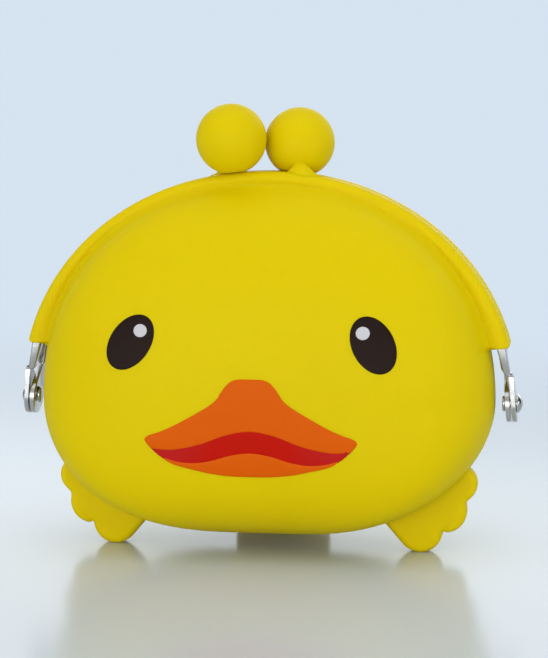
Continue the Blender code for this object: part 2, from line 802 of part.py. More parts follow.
def finish_mesh(piece):
    bm = bmesh.new()
    bm.from_mesh(piece.data)
    bmesh.ops.remove_doubles(bm, verts=bm.verts, dist=WELD)
    bmesh.ops.dissolve_degenerate(bm, edges=bm.edges, dist=WELD)
    bm.to_mesh(piece.data)
    bm.free()
    piece.data.shade_smooth()
    piece.data.set_sharp_from_angle(angle=SHARP_ANGLE)


def main():
    clear_scene()
    silicone = material("yellow silicone", (0.74, 0.56, 0.005), 0.42)
    steel = material("nickel-plated steel", (0.62, 0.61, 0.6), 0.25, 1.0)
    core = material("clasp core steel", (0.45, 0.45, 0.46), 0.4, 1.0)
    eye = material("brown-black print", (0.02, 0.011, 0.01), 0.4)
    glint = material("white print", (0.75, 0.74, 0.75), 0.4)
    orange = material("orange print", (0.72, 0.115, 0.001), 0.4)
    red = material("red print", (0.5, 0.007, 0.002), 0.4)

    fixed = [
        make_bowl(silicone),
        make_fold_panel("front_fold_panel", silicone),
        to_back(make_fold_panel("back_fold_panel", silicone)),
        make_wing("right_wing", 1, silicone),
        make_wing("left_wing", -1, silicone),
        make_flap("tail", tail_outline(), TAIL_Y, TAIL_THICKNESS, silicone),
        *make_face(eye, glint, orange, red).values(),
    ]
    front = [
        make_pouch_half("front_pouch_half", silicone),
        make_frame("front_frame", OUTER_EAR_X, steel),
        make_clasp_ball("front_clasp_ball", silicone),
        make_clasp_core("front_clasp_core", core),
        make_clasp_stem("front_clasp_stem", core),
        make_rivet("right_rivet", 1, steel),
        make_rivet("left_rivet", -1, steel),
    ]
    back = [
        to_back(make_pouch_half("back_pouch_half", silicone)),
        to_back(make_frame("back_frame", INNER_EAR_X, steel)),
        to_back(make_clasp_ball("back_clasp_ball", silicone)),
        to_back(make_clasp_core("back_clasp_core", core)),
        to_back(make_clasp_stem("back_clasp_stem", core)),
    ]
    for piece in (*fixed, *front, *back):
        finish_mesh(piece)
    for name, pieces in (("front_hinge", front), ("back_hinge", back)):
        empty = hinge(name)
        for piece in pieces:
            carry(piece, empty)


if __name__ == "__main__":
    main()
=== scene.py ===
from bisect import bisect_left
import math

import bmesh
import bpy
from mathutils import Matrix, Vector, geometry


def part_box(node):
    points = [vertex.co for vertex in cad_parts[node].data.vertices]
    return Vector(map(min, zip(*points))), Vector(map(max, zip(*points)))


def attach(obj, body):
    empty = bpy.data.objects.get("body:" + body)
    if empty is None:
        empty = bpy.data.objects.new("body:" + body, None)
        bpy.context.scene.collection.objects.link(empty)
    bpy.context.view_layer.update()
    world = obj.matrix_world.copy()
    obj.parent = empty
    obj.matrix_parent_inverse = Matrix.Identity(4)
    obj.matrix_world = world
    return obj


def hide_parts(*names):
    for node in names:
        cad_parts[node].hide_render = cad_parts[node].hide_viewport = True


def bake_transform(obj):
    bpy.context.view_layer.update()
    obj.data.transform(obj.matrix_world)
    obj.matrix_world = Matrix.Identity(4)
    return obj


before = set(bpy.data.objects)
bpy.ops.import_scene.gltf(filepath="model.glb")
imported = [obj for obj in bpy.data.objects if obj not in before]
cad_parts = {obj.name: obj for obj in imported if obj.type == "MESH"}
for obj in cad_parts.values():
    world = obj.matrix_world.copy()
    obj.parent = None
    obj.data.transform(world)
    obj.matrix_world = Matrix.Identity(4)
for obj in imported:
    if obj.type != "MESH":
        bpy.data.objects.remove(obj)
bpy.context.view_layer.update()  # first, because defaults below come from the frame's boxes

bl_info = {
    "name": "Silicone kiss-lock case",
    "version": (1, 0, 0),
    "blender": (4, 5, 0),
    "location": "3D View > Sidebar > Case",
    "description": "A soft silicone pouch with a duck's face on a hinged steel frame",
    "category": "Object",
}

MM = 0.001
BOWL_LOW, BOWL_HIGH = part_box("pouch_bowl")


# Sizes and colours that a user would change


def linear(hex_colour):
    """An sRGB hex colour as linear red, green and blue."""
    parts = [int(hex_colour[i : i + 2], 16) / 255 for i in (1, 3, 5)]
    return [c / 12.92 if c <= 0.04045 else ((c + 0.055) / 1.055) ** 2.4 for c in parts]


def length(name, description, default):
    return bpy.props.FloatProperty(
        name=name, description=description, default=default, min=0.0, precision=4, unit="LENGTH"
    )


def colour(name, description, hex_colour):
    return bpy.props.FloatVectorProperty(
        name=name, description=description, default=linear(hex_colour), min=0.0, max=1.0, subtype="COLOR"
    )


class PouchSizes(bpy.types.PropertyGroup):
    """Main sizes of the silicone moulding"""

    half_width: length("Half width", "From the middle to the pouch's side, at the hinge", 50.4 * MM)
    hinge: length("Hinge height", "Height of the hinge line above the table", 32.8 * MM)
    top_rise: length("Top rise", "From the hinge line up to the pouch's outline under the rim", 48.0 * MM)
    base: length("Base height", "Lowest point of the pouch above the table", BOWL_LOW[2])
    half_depth: length("Half depth", "From the mouth's plane to the fullest part of the face", BOWL_HIGH[1])
    wall: length("Wall", "Thickness of the silicone", 1.8 * MM)
    rim_half_width: length("Rim half width", "Half width of the rim's curve at the hinge line", 55.3 * MM)
    rim_rise: length("Rim rise", "From the hinge line up to the top of the rim", 50.6 * MM)
    rim_end: length("Rim end", "Height at which the rim's sleeve ends", 45.2 * MM)
    rim_depth: length("Rim depth", "From the mouth's plane to the rim's face", 5.4 * MM)
    rim_band: length("Rim band", "Width of the rim's sleeve as seen from the front", 5.4 * MM)


class ClaspSizes(bpy.types.PropertyGroup):
    """Sizes of the clasp's balls and of the steel frame's arms"""

    ball_radius: length("Ball radius", "Radius of the soft clasp balls", 7.7 * MM)
    ball_x: length("Ball offset", "From the middle to a ball's centre, along the hinge", 7.0 * MM)
    ball_y: length("Ball lean", "From the mouth's plane to a ball's centre, over the other half", 3.6 * MM)
    ball_z: length("Ball height", "Height of the balls' centres", 90.4 * MM)
    ball_sag: length("Ball sag", "How much lower the front ball settles than the back one", 0.9 * MM)
    foot_x: length("Neck offset", "From the middle to the foot of a ball's neck", 8.0 * MM)
    waist: length("Neck waist", "Radius of a neck where it is thinnest", 2.3 * MM)
    outer_ear: length("Outer ear", "From the middle to the front frame's ears, along the hinge", 54.4 * MM)
    inner_ear: length("Inner ear", "From the middle to the back frame's ears, along the hinge", 53.15 * MM)
    ear_radius: length("Ear radius", "Radius of the frame's flat ears", 4.1 * MM)
    ear_thickness: length("Ear thickness", "Thickness of the frame's flat ears", 0.95 * MM)
    head_radius: length("Rivet head", "Radius of the rivets' domed heads", 2.1 * MM)


class CaseColours(bpy.types.PropertyGroup):
    """Colours of the silicone, the print and the metal"""

    silicone: colour("Silicone", "Yellow of the moulding", "#E0CA00")
    silicone_deep: colour("Deeper silicone", "Warmer yellow that it drifts to", "#DBC000")
    bill: colour("Bill", "Orange ink", "#DB5C00")
    mouth: colour("Mouth", "Red ink", "#BE1200")
    mouth_end: colour("Mouth ends", "Cooler red at the mouth's ends", "#B81C1A")
    eye: colour("Eye", "Brown-black ink", "#241713")
    glint: colour("Glint", "White ink", "#CBCACE")
    nickel: colour("Nickel", "Plated steel of the frame", "#C9C8C4")
    table: colour("Table", "Pale table top", "#CBD4DB")
    backdrop: colour("Backdrop", "Pale wall behind", "#D6E3F0")


SETTINGS = {"case_pouch": PouchSizes, "case_clasp": ClaspSizes, "case_colours": CaseColours}


# Small helpers


def deselect():
    for item in bpy.context.selected_objects:
        item.select_set(False)


def activate(piece):
    deselect()
    piece.select_set(True)
    bpy.context.view_layer.objects.active = piece


def edit_all(piece):
    """Go into edit mode with the whole piece selected."""
    activate(piece)
    bpy.ops.object.mode_set(mode="EDIT")
    bpy.ops.mesh.select_all(action="SELECT")


def applied(name):
    """Name the object that was just made, and bring its place and size into its mesh."""
    bpy.ops.object.transform_apply(location=True, rotation=True, scale=True)
    piece = bpy.context.active_object
    piece.name = piece.data.name = name
    return piece


def modify(piece, kind, **settings):
    """Add a modifier with its settings and apply it."""
    activate(piece)
    modifier = piece.modifiers.new(kind.title(), kind)
    for name, value in settings.items():
        setattr(modifier, name, value)
    bpy.ops.object.modifier_apply(modifier=modifier.name)
    return piece


def smooth(piece, degrees):
    activate(piece)
    bpy.ops.object.shade_smooth_by_angle(angle=math.radians(degrees))
    return piece


def linked(name, data):
    """A new object in the scene."""
    made = bpy.data.objects.new(name, data)
    bpy.context.scene.collection.objects.link(made)
    return made


def piece_from(bm, name, *materials):
    """Turn a closed bmesh into a piece with its faces pointing out."""
    bmesh.ops.remove_doubles(bm, verts=bm.verts, dist=0.001 * MM)
    bmesh.ops.recalc_face_normals(bm, faces=bm.faces)
    mesh = bpy.data.meshes.new(name)
    bm.to_mesh(mesh)
    bm.free()
    for made in materials:
        mesh.materials.append(made)
    return linked(name, mesh)


def bridge(bm, first, second):
    """Faces between two closed rings of equal point counts."""
    for i in range(len(first)):
        j = (i + 1) % len(first)
        bm.faces.new((first[i], first[j], second[j], second[i]))


def loft(name, rings, *materials, poles=(None, None)):
    """A closed skin through rings, each end closed by a fan to its pole or else by one face."""
    bm = bmesh.new()
    made = [[bm.verts.new(point) for point in ring] for ring in rings]
    for first, second in zip(made, made[1:]):
        bridge(bm, first, second)
    for ring, pole in zip((made[0], made[-1]), poles):
        if pole is None:
            bm.faces.new(ring)
        else:
            tip = bm.verts.new(pole)
            for i in range(len(ring)):
                bm.faces.new((ring[i], ring[(i + 1) % len(ring)], tip))
    return piece_from(bm, name, *materials)


def pick_edges(piece, test):
    """Go into edit mode with only the edges selected whose middles pass the test."""
    edit_all(piece)
    bpy.ops.mesh.select_mode(type="EDGE")
    bpy.ops.mesh.select_all(action="DESELECT")
    bm = bmesh.from_edit_mesh(piece.data)
    for edge in bm.edges:
        edge.select_set(test((edge.verts[0].co + edge.verts[1].co) / 2))
    bmesh.update_edit_mesh(piece.data)


def half_turn(piece):
    """Turn a piece of the front half into the same piece of the back half."""
    piece.data.transform(Matrix.Rotation(math.pi, 4, "Z"))
    return piece


def soft_larger(a, b, blend):
    """The larger of two lengths, with a soft change from one to the other."""
    return (a + b + math.sqrt((a - b) ** 2 + blend**2)) / 2


def ease(t):
    """0 to 1, starting and ending gently."""
    t = min(max(t, 0.0), 1.0)
    return t * t * (3 - 2 * t)


def quarter(steps):
    """The sine and cosine at each step of a quarter turn."""
    turns = [math.pi / 2 * step / steps for step in range(steps + 1)]
    return [(math.sin(turn), math.cos(turn)) for turn in turns]


def closed_in(near, far, steps, passes):
    """Halve a stretch whose near end passes a test and whose far end doesn't, and return its far end."""
    for _ in range(steps):
        middle = (near + far) / 2
        if passes(middle):
            near = middle
        else:
            far = middle
    return far


def smooth_curve(points, steps):
    """A Catmull-Rom curve through points."""
    points = [Vector(point) for point in points]
    padded = [points[0], *points, points[-1]]
    curve = []
    for before, start, end, after in zip(padded, padded[1:], padded[2:], padded[3:]):
        for step in range(steps):
            t = step / steps
            bend = t * (end - before) + t * t * (2 * before - 5 * start + 4 * end - after)
            curve.append((2 * start + bend + t**3 * (3 * start - before - 3 * end + after)) / 2)
    return [*curve, points[-1]]


def inset_outline(outline, distance):
    """Move each point of a closed clockwise outline inwards, along the mean of its two edges' normals."""
    moved = []
    for before, here, after in zip([outline[-1], *outline], outline, [*outline[1:], outline[0]]):
        along = (here - before).normalized() + (after - here).normalized()
        moved.append(here + Vector((along.y, -along.x)).normalized() * distance)
    return moved


# Materials


def add_node(tree, kind, settings=None, links=None):
    """Add a node, set its properties and sockets, and link outputs to its sockets. A socket goes by its name,
    or by its number where a name stands for several."""
    node = tree.nodes.new(kind)
    for name, value in (settings or {}).items():
        if isinstance(name, int) or name in node.inputs:
            node.inputs[name].default_value = value
        else:
            setattr(node, name, value)
    for name, output in (links or {}).items():
        tree.links.new(output, node.inputs[name])
    return node


def new_material(name, **sockets):
    """A material with one Principled shader whose named sockets are set."""
    made = bpy.data.materials.new(name)
    made.use_nodes = True
    shader = made.node_tree.nodes["Principled BSDF"]
    for socket, value in sockets.items():
        shader.inputs[socket.replace("_", " ")].default_value = value
    return made, made.node_tree, shader


def grain(tree, scale, detail=2.0):
    """Noise on Object coordinates; scale is in cycles per metre."""
    place = add_node(tree, "ShaderNodeTexCoord")
    settings, links = {"Scale": scale, "Detail": detail}, {"Vector": place.outputs["Object"]}
    return add_node(tree, "ShaderNodeTexNoise", settings, links).outputs["Fac"]


def far_out(tree, axis, start, end, coordinates="Object", **settings):
    """0 nearer than start to the middle along an axis, 1 beyond end."""
    place = add_node(tree, "ShaderNodeTexCoord")
    parts = add_node(tree, "ShaderNodeSeparateXYZ", links={"Vector": place.outputs[coordinates]})
    away = add_node(tree, "ShaderNodeMath", {"operation": "ABSOLUTE"}, {0: parts.outputs[axis]})
    settings = {"From Min": start, "From Max": end, **settings}
    return add_node(tree, "ShaderNodeMapRange", settings, {"Value": away.outputs[0]}).outputs["Result"]


def drifting(tree, pattern, first, second):
    """The socket of a colour that drifts from the first to the second with a pattern."""
    tones = {"data_type": "RGBA", 6: (*first, 1.0), 7: (*second, 1.0)}
    return add_node(tree, "ShaderNodeMix", tones, {"Factor": pattern}).outputs[2]


def coat(tree, shader, tone, pattern, roughness, bump=None):
    """Link a colour, and let a pattern drive the roughness between two values, and a bump of a distance and
    strength."""
    tree.links.new(tone, shader.inputs["Base Color"])
    gloss = {"To Min": roughness[0], "To Max": roughness[1]}
    wear = add_node(tree, "ShaderNodeMapRange", gloss, {"Value": pattern}).outputs["Result"]
    tree.links.new(wear, shader.inputs["Roughness"])
    if bump is not None:
        relief = {"Distance": bump[0], "Strength": bump[1]}
        normal = add_node(tree, "ShaderNodeBump", relief, {"Height": pattern}).outputs["Normal"]
        tree.links.new(normal, shader.inputs["Normal"])


def moulded_silicone():
    """Matt moulded silicone rubber. It is slightly see-through, so its edges and creases glow warm, and the
    blasted mould leaves a fine grain that spreads its gloss into a soft sheen."""
    tones = bpy.context.scene.case_colours
    made, tree, shader = new_material(
        "moulded yellow silicone",
        IOR=1.41,
        Specular_IOR_Level=0.09,
        Subsurface_Weight=0.45,
        Subsurface_Radius=(1.0, 0.6, 0.04),
        Subsurface_Scale=2.6 * MM,
    )
    yellow = drifting(tree, grain(tree, 28, 3.0), tones.silicone, tones.silicone_deep)
    # the real grain is near 0.05 mm; it is drawn at 0.25 mm so that it shows at all
    coat(tree, shader, yellow, grain(tree, 4000), (0.44, 0.56), (0.02 * MM, 0.35))
    return made


def printed_ink(name, ink, roughness=0.4, end_ink=None):
    """Silkscreened silicone ink: opaque, a little smoother than the moulding, with faint unevenness. Its tone
    can change to end_ink towards both ends."""
    made, tree, shader = new_material(name, IOR=1.43, Specular_IOR_Level=0.08)
    tone = drifting(tree, grain(tree, 300, 3.0), ink, [c * 0.93 for c in ink])
    if end_ink is not None:
        ends = {"Factor": far_out(tree, "X", *INK_ENDS), 6: tone}
        tone = add_node(tree, "ShaderNodeMix", {"data_type": "RGBA", 7: (*end_ink, 1.0)}, ends).outputs[2]
    coat(tree, shader, tone, grain(tree, 3500), (roughness, roughness + 0.08), (0.015 * MM, 0.3))
    return made


def plated_nickel():
    """Bright nickel over pressed steel: mirror-like with slight waviness and fine handling scratches."""
    made, tree, shader = new_material("bright nickel plate", Metallic=1.0)
    tone = bpy.context.scene.case_colours.nickel
    haze = grain(tree, 900, 4.0)
    metal = drifting(tree, haze, tone, [c * 0.86 for c in tone])
    coat(tree, shader, metal, haze, (0.1, 0.24), (0.03 * MM, 0.25))
    return made


def turned_steel():
    """Plain turned steel with fine rings round the turning axis, inside the clasp."""
    made, tree, shader = new_material("turned steel", Metallic=1.0)
    place = add_node(tree, "ShaderNodeTexCoord")
    cuts = {"bands_direction": "Z", "Scale": 900.0, "Distortion": 1.5}
    rings = add_node(tree, "ShaderNodeTexWave", cuts, {"Vector": place.outputs["Object"]}).outputs["Fac"]
    coat(tree, shader, drifting(tree, rings, linear("#9A9A9C"), linear("#858588")), rings, (0.3, 0.42))
    return made


INK_ENDS = (8.0 * MM, 17.0 * MM)  # from the middle, where an end ink's tone starts and is full
MADE = {}


def finish(kind):
    """Each material once, by what it is."""
    tones = bpy.context.scene.case_colours
    makers = {
        "silicone": moulded_silicone,
        "bill ink": lambda: printed_ink("orange ink", tones.bill),
        "mouth ink": lambda: printed_ink("red ink", tones.mouth, end_ink=tones.mouth_end),
        "eye ink": lambda: printed_ink("brown-black ink", tones.eye, 0.34),
        "glint ink": lambda: printed_ink("white ink", tones.glint),
        "nickel": plated_nickel,
        "steel": turned_steel,
    }
    if kind not in MADE:
        MADE[kind] = makers[kind]()
    return MADE[kind]


def refinish(piece, kind):
    """Give a piece one material in place of those that it has."""
    piece.data.materials.clear()
    piece.data.materials.append(finish(kind))


# The pouch's form

POUCH_POWER = 2.2  # superellipse power of the pouch's outline above the hinge
RIM_POWER = 2.05  # the same for the rim's curve
SIDE_HANDLE = 5.3 * MM  # how far the lower outline keeps going down at the sides
BASE_HANDLE = 46.7 * MM  # how far it keeps level under the base
SIDE_POWER = 5.1  # how flat the face stays to the sides, from the hinge up
LOW_SIDE_POWER = 9.8  # the same at the base
UPPER_POWER = 2.0  # how flat it stays to the top
LOWER_POWER = 4.1  # how flat it stays to the base
VALLEY_WIDTH = 2.6 * MM  # over which the rim's face runs into the wall
VALLEY_DROP = 0.6 * MM  # how far the face falls towards the crease, at most
VALLEY_LEAD = 0.3 * MM  # how far before the wall's outline its run starts
RIM_OUTER_ROUND = 1.9 * MM
RIM_END_ROUND = 1.0 * MM  # outer corner of the sleeve's end
END_FACE_ROUND = 0.6 * MM  # front corner of the sleeve's end
END_TURN = 6.0 * MM  # over which the stations turn until the sleeve's end is level
END_STATIONS = (0.0, 0.02, 0.08, 0.18, 0.32, 0.5, 0.75, 1.05, 1.45, 2.0, 2.7)  # millimetres from that end
NEXT_STATION = 3.4 * MM  # where the even stations start
MOUTH_ROUND = 0.7 * MM
MOUTH_GAP = 0.2 * MM  # from the mouth's plane to each rim
SLIT_GAP = 0.12 * MM  # from the mouth's plane to each wall, between the hinge and the rim
SEAM_LAP = 0.02 * MM  # how far the walls pass the plane below the hinge, so that they close
UPPER_STATIONS = 132
LOWER_STATIONS = 150
WALL_ROWS = 26
RING_SHARE = 0.94  # where the wall's own rows start below the rim, as a share of the outline
FACE_INSETS = (8.0, 7.2, 6.5, 5.9, 5.4, 4.95, 4.55, 4.2, 3.9, 3.6, 3.3, 3.0, 2.7, 2.4, 2.15)
INSIDE_INSETS = (5.9, 6.4, 7.0, 8.0)  # from the rim's curve to rows of the inside wall, in millimetres


class PouchForm:
    """Where one skin of the pouch lies. X and Z are as in the frame; depths are measured from the mouth's
    plane towards the front, and rises from the hinge line."""

    def __init__(self, grow=0.0):
        size = bpy.context.scene.case_pouch
        self.hinge = size.hinge
        self.width = size.half_width + grow
        self.top = size.top_rise + grow
        self.drop = size.hinge - size.base + grow
        self.deep = size.half_depth + grow
        side = ((self.width, 0), (self.width, -SIDE_HANDLE), (BASE_HANDLE, -self.drop), (0, -self.drop))
        lower = geometry.interpolate_bezier(*(Vector(point) for point in side), 400)
        self.lower_drops = [-point[1] for point in lower]
        self.lower_halves = [point[0] for point in lower]
        self.lower_angles = [math.atan2(-point[1], point[0]) for point in lower]
        self.lower_reaches = [point.length for point in lower]

    def between(self, keys, values, key):
        k = min(max(bisect_left(keys, key), 1), len(keys) - 1)
        share = (key - keys[k - 1]) / (keys[k] - keys[k - 1])
        return values[k - 1] + (values[k] - values[k - 1]) * min(max(share, 0.0), 1.0)

    def half_width(self, rise):
        """Half of the outline's width at a rise."""
        if rise >= 0:
            return self.width * max(0.0, 1 - (rise / self.top) ** POUCH_POWER) ** (1 / POUCH_POWER)
        return self.between(self.lower_drops, self.lower_halves, -rise)

    def reach(self, direction):
        """How far the outline is from the hinge line's middle in a direction."""
        if direction.y < 0:
            angle = math.atan2(-direction.y, abs(direction.x))
            return self.between(self.lower_angles, self.lower_reaches, angle)
        share = (abs(direction.x) / self.width) ** POUCH_POWER + (direction.y / self.top) ** POUCH_POWER
        return share ** (-1 / POUCH_POWER)

    def depth(self, x, z):
        """Depth of the skin over a point, or 0 outside its outline."""
        rise = z - self.hinge
        half = self.half_width(rise)
        if abs(x) >= half:
            return 0.0
        if rise > 0:
            across, upright = SIDE_POWER, (rise / self.top) ** UPPER_POWER
        else:
            share = min(1.0, -rise / self.drop)
            across, upright = SIDE_POWER + (LOW_SIDE_POWER - SIDE_POWER) * share, share**LOWER_POWER
        return self.deep * math.sqrt((1 - (abs(x) / half) ** across) * (1 - upright))

    def depth_towards(self, direction, distance):
        """Depth of the skin at a distance from the hinge line's middle."""
        return self.depth(direction.x * distance, self.hinge + direction.y * distance)

    def place_of_depth(self, direction, depth):
        """How far out from the hinge line's middle the skin has sunk to a depth."""
        reach = self.reach(direction)
        return closed_in(0.5 * reach, reach, 22, lambda out: self.depth_towards(direction, out) > depth)


def rim_point(angle):
    """A point of the rim's outer curve in XZ, and the direction inwards."""
    size = bpy.context.scene.case_pouch

    def at(turn):
        x = math.copysign(abs(math.cos(turn)) ** (2 / RIM_POWER), math.cos(turn))
        rise = size.rim_rise * abs(math.sin(turn)) ** (2 / RIM_POWER)
        return Vector((size.rim_half_width * x, size.hinge + rise))

    along = (at(angle + 1e-3) - at(angle - 1e-3)).normalized()
    return at(angle), Vector((-along.y, along.x))


def sleeve_width(outside, point, inward):
    """From the rim's outer curve to the wall's outline."""

    def beyond(inset):
        at = point + inward * inset
        return abs(at.x) >= outside.half_width(at.y - outside.hinge)

    return closed_in(1.0 * MM, 7.0 * MM, 16, beyond)


def rim_surface(wall_depth, width, face):
    """A function from inset to depth: the rim's face falls to the crease, then runs softly into the wall."""
    start, low = 0.8 * RIM_OUTER_ROUND, width - VALLEY_LEAD
    drop = min(VALLEY_DROP, 0.4 * (low - start))
    join, step = low + VALLEY_WIDTH, 0.05 * MM
    leave = -2 * drop / (low - start) * VALLEY_WIDTH
    arrive = (wall_depth(join + step) - wall_depth(join - step)) / (2 * step) * VALLEY_WIDTH

    def depth(inset):
        if inset <= low:
            return face - drop * max(0.0, (inset - start) / (low - start)) ** 2
        if inset >= join:
            return wall_depth(inset)
        t = (inset - low) / VALLEY_WIDTH
        ends = (1 - ease(t)) * (face - drop) + ease(t) * wall_depth(join)
        return ends + t * (1 - t) * ((1 - t) * leave - t * arrive)

    return depth


def rim_rows(outside, inside, angle, end_distance):
    """One station of the front half where the rim runs: (x, depth, z) from the wall's ring over the rim and
    through the mouth to the ring inside. end_distance is how far the sleeve's end is, for its rounding and
    its level cut."""
    size = bpy.context.scene.case_pouch
    point, inward = rim_point(angle)
    width = sleeve_width(outside, point, inward)
    upwards = Vector((-inward.y, inward.x)) * math.copysign(1, inward.x)
    level = (1 - ease(end_distance / END_TURN)) * -inward.y / max(upwards.y, 0.1)

    def rounded(radius):
        """How far the surface moves in so near the sleeve's end."""
        left = max(0.0, 1 - end_distance / radius)
        return radius * (1 - math.sqrt(1 - left * left))

    face = size.rim_depth - rounded(END_FACE_ROUND)
    outer = max(rounded(END_FACE_ROUND), rounded(RIM_END_ROUND))
    rows = []

    def place(inset):
        return point + inward * inset + upwards * (inset * level)

    def add(inset, depth):
        at = place(inset)
        rows.append((at.x, depth, at.y))

    def wall_depth(inset):
        at = place(inset)
        return outside.depth(at.x, at.y)

    surface = rim_surface(wall_depth, width, face)
    corner = quarter(7)
    last = outer + RIM_OUTER_ROUND * (1 - corner[1][0]) + 0.15 * MM
    squeeze = min(1.0, (size.rim_band - last) / (size.rim_band - FACE_INSETS[-1] * MM))
    for inset in FACE_INSETS:
        inset *= MM
        if inset < size.rim_band:  # near the sleeve's end the rows move in, clear of its rounding
            inset = size.rim_band - (size.rim_band - inset) * squeeze
        add(inset, surface(inset))
    for sine, cosine in corner[1:]:
        add(outer + RIM_OUTER_ROUND * (1 - sine), face - RIM_OUTER_ROUND * (1 - cosine))
    add(outer, (face - RIM_OUTER_ROUND + MOUTH_GAP + MOUTH_ROUND) / 2)
    for sine, cosine in quarter(3):
        add(outer + MOUTH_ROUND * (1 - cosine), MOUTH_GAP + MOUTH_ROUND * (1 - sine))
    add(size.rim_band / 2, MOUTH_GAP)
    for sine, cosine in quarter(3):
        add(size.rim_band - MOUTH_ROUND * (1 - sine), MOUTH_GAP + MOUTH_ROUND * (1 - cosine))
    for inset in INSIDE_INSETS:
        at = place(inset * MM)
        edge = MOUTH_GAP + MOUTH_ROUND + (inset * MM - size.rim_band) * 0.3
        add(inset * MM, soft_larger(inside.depth(at.x, at.y), edge, 0.4 * MM))
    return rows


def plain_rows(outside, inside, direction):
    """One station of the front half where there is no rim: the same rows over the pouch's plain edge."""
    outer, inner = outside.reach(direction), inside.reach(direction)
    above = ease(direction.y * outer / (2.0 * MM))
    seam = SLIT_GAP * above - SEAM_LAP * (1 - above)
    rows = []

    def add(distance, depth):
        rows.append((direction.x * distance, depth, outside.hinge + direction.y * distance))

    start = outside.depth_towards(direction, RING_SHARE * outer)
    skin_rows = len(FACE_INSETS) + 7
    for step in range(skin_rows):
        depth = seam + (start - seam) * (1 - step / skin_rows)
        add(outside.place_of_depth(direction, max(depth, 0.0)), depth)
    for step in range(10):
        add(outer + (inner - outer) * step / 9, seam)
    for share in (0.997, 0.985, 0.965, RING_SHARE):
        add(share * inner, inside.depth_towards(direction, share * inner))
    return rows


def silicone_half(name):
    """The front half of the moulding: wall, rim sleeve and inside, as one closed skin."""
    size = bpy.context.scene.case_pouch
    outside, inside = PouchForm(), PouchForm(-size.wall)
    hub = Vector((0, size.hinge))
    start = math.asin(((size.rim_end - size.hinge) / size.rim_rise) ** (RIM_POWER / 2))
    per_radian = (rim_point(start + 0.01)[0] - rim_point(start)[0]).length / 0.01
    turns = [(start + mm * MM / per_radian, mm * MM) for mm in END_STATIONS]
    first = start + NEXT_STATION / per_radian
    for i in range(UPPER_STATIONS + 1):
        angle = first + (math.pi - 2 * first) * i / UPPER_STATIONS
        turns.append((angle, (min(angle, math.pi - angle) - start) * per_radian))
    turns += [(math.pi - angle, distance) for angle, distance in reversed(turns[: len(END_STATIONS)])]
    stations = [rim_rows(outside, inside, angle, distance) for angle, distance in turns]
    below = size.rim_end - 0.12 * MM - size.hinge
    low = math.pi - math.atan2(below, outside.half_width(below))
    for i in range(LOWER_STATIONS):
        angle = low + (3 * math.pi - 2 * low) * i / (LOWER_STATIONS - 1)
        stations.append(plain_rows(outside, inside, Vector((math.cos(angle), math.sin(angle)))))

    def wall_ring(form, row, k):
        share = 1 - (1 - k / WALL_ROWS) ** 1.4
        points = [hub.lerp(Vector((rows[row][0], rows[row][2])), share) for rows in stations]
        return [(at.x, form.depth(at.x, at.y), at.y) for at in points]

    rings = [wall_ring(outside, 0, k) for k in range(1, WALL_ROWS)]
    rings += [[rows[k] for rows in stations] for k in range(len(stations[0]))]
    rings += [wall_ring(inside, -1, k) for k in range(WALL_ROWS - 1, 0, -1)]
    rings = [[(x, -depth, z) for x, depth, z in ring] for ring in rings]
    poles = ((0, -outside.deep, hub.y), (0, -inside.deep, hub.y))
    return smooth(loft(name, rings, finish("silicone"), poles=poles), 50)


class CASE_OT_silicone(bpy.types.Operator):
    """Mould the front and back halves of the pouch with their rims"""

    bl_idname = "case.silicone"
    bl_label = "Silicone halves"

    def execute(self, context):
        front = silicone_half("front_silicone")
        back = half_turn(silicone_half("back_silicone"))
        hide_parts("front_pouch_half", "front_fold_panel", "pouch_bowl")
        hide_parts("back_pouch_half", "back_fold_panel", "pouch_bowl")
        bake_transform(front)
        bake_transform(back)
        return {"FINISHED"}


# Face print

INK = 0.09 * MM  # how far the ink stands off the silicone
INK_EDGE = 0.16 * MM  # over which it rounds down
PRINT_CELL = 1.1 * MM  # side of the squares that let it follow the wall
PRINT_THICKNESS = 0.3 * MM  # most of it sunk in the wall
# Right-hand halves of the bill's curves, from the corner to the middle, in millimetres
BILL_TOP = (
    *((22.8, 27.1), (22.45, 27.75), (21.5, 28.25), (19.4, 28.95), (15.5, 30.75)),
    *((8.0, 35.2), (5.3, 38.7), (3.3, 40.2), (0, 40.4)),
)
BILL_BOTTOM = ((19.9, 23.8), (16.8, 22.0), (12.8, 20.95), (8.9, 20.1), (4.5, 19.6), (0, 19.5))
MOUTH_TOP = ((21.45, 25.3), (18.5, 25.05), (15.5, 25.25), (10.6, 26.4), (5.2, 28.4), (0, 29.3))
MOUTH_BOTTOM = ((19.9, 23.85), (16.4, 22.7), (12.7, 22.3), (8.8, 22.8), (4.3, 24.1), (0, 24.7))
BILL_CORNER = (22.45, 26.5)  # between the two curves that end the upper bill
LOWER_BILL_END = 18.7 * MM
MOUTH_LAP = 0.35 * MM  # how far the red runs under the orange
MOUTH_ROOF_END, MOUTH_FLOOR_END = 21.3 * MM, 19.0 * MM
MOUTH_END = ((21.5, 25.5), (21.4, 25.25), (19.85, 23.8))  # the red's end, downwards, in millimetres
EYE_X, EYE_Z, EYE_HALF_WIDTH = 26.0 * MM, 47.8 * MM, 4.45 * MM
EYES = (("left", -1, 36.5, 6.55 * MM), ("right", 1, 28.6, 6.4 * MM))  # side, lean in degrees, half length
GLINT_X, GLINT_Z, GLINT_HALF_WIDTH, GLINT_HALF_HEIGHT = 23.8 * MM, 50.3 * MM, 1.5 * MM, 1.4 * MM


def mirrored(points):
    """The same points to the other side, in reverse order."""
    return [Vector((-point.x, point.y)) for point in reversed(points)]


def mirrored_curve(half, lift=0.0):
    """The whole curve, left to right, from its right-hand half in millimetres."""
    right = [Vector((x * MM, z * MM + lift)) for x, z in reversed(half)]
    return smooth_curve([*mirrored(right[1:]), *right], 7)


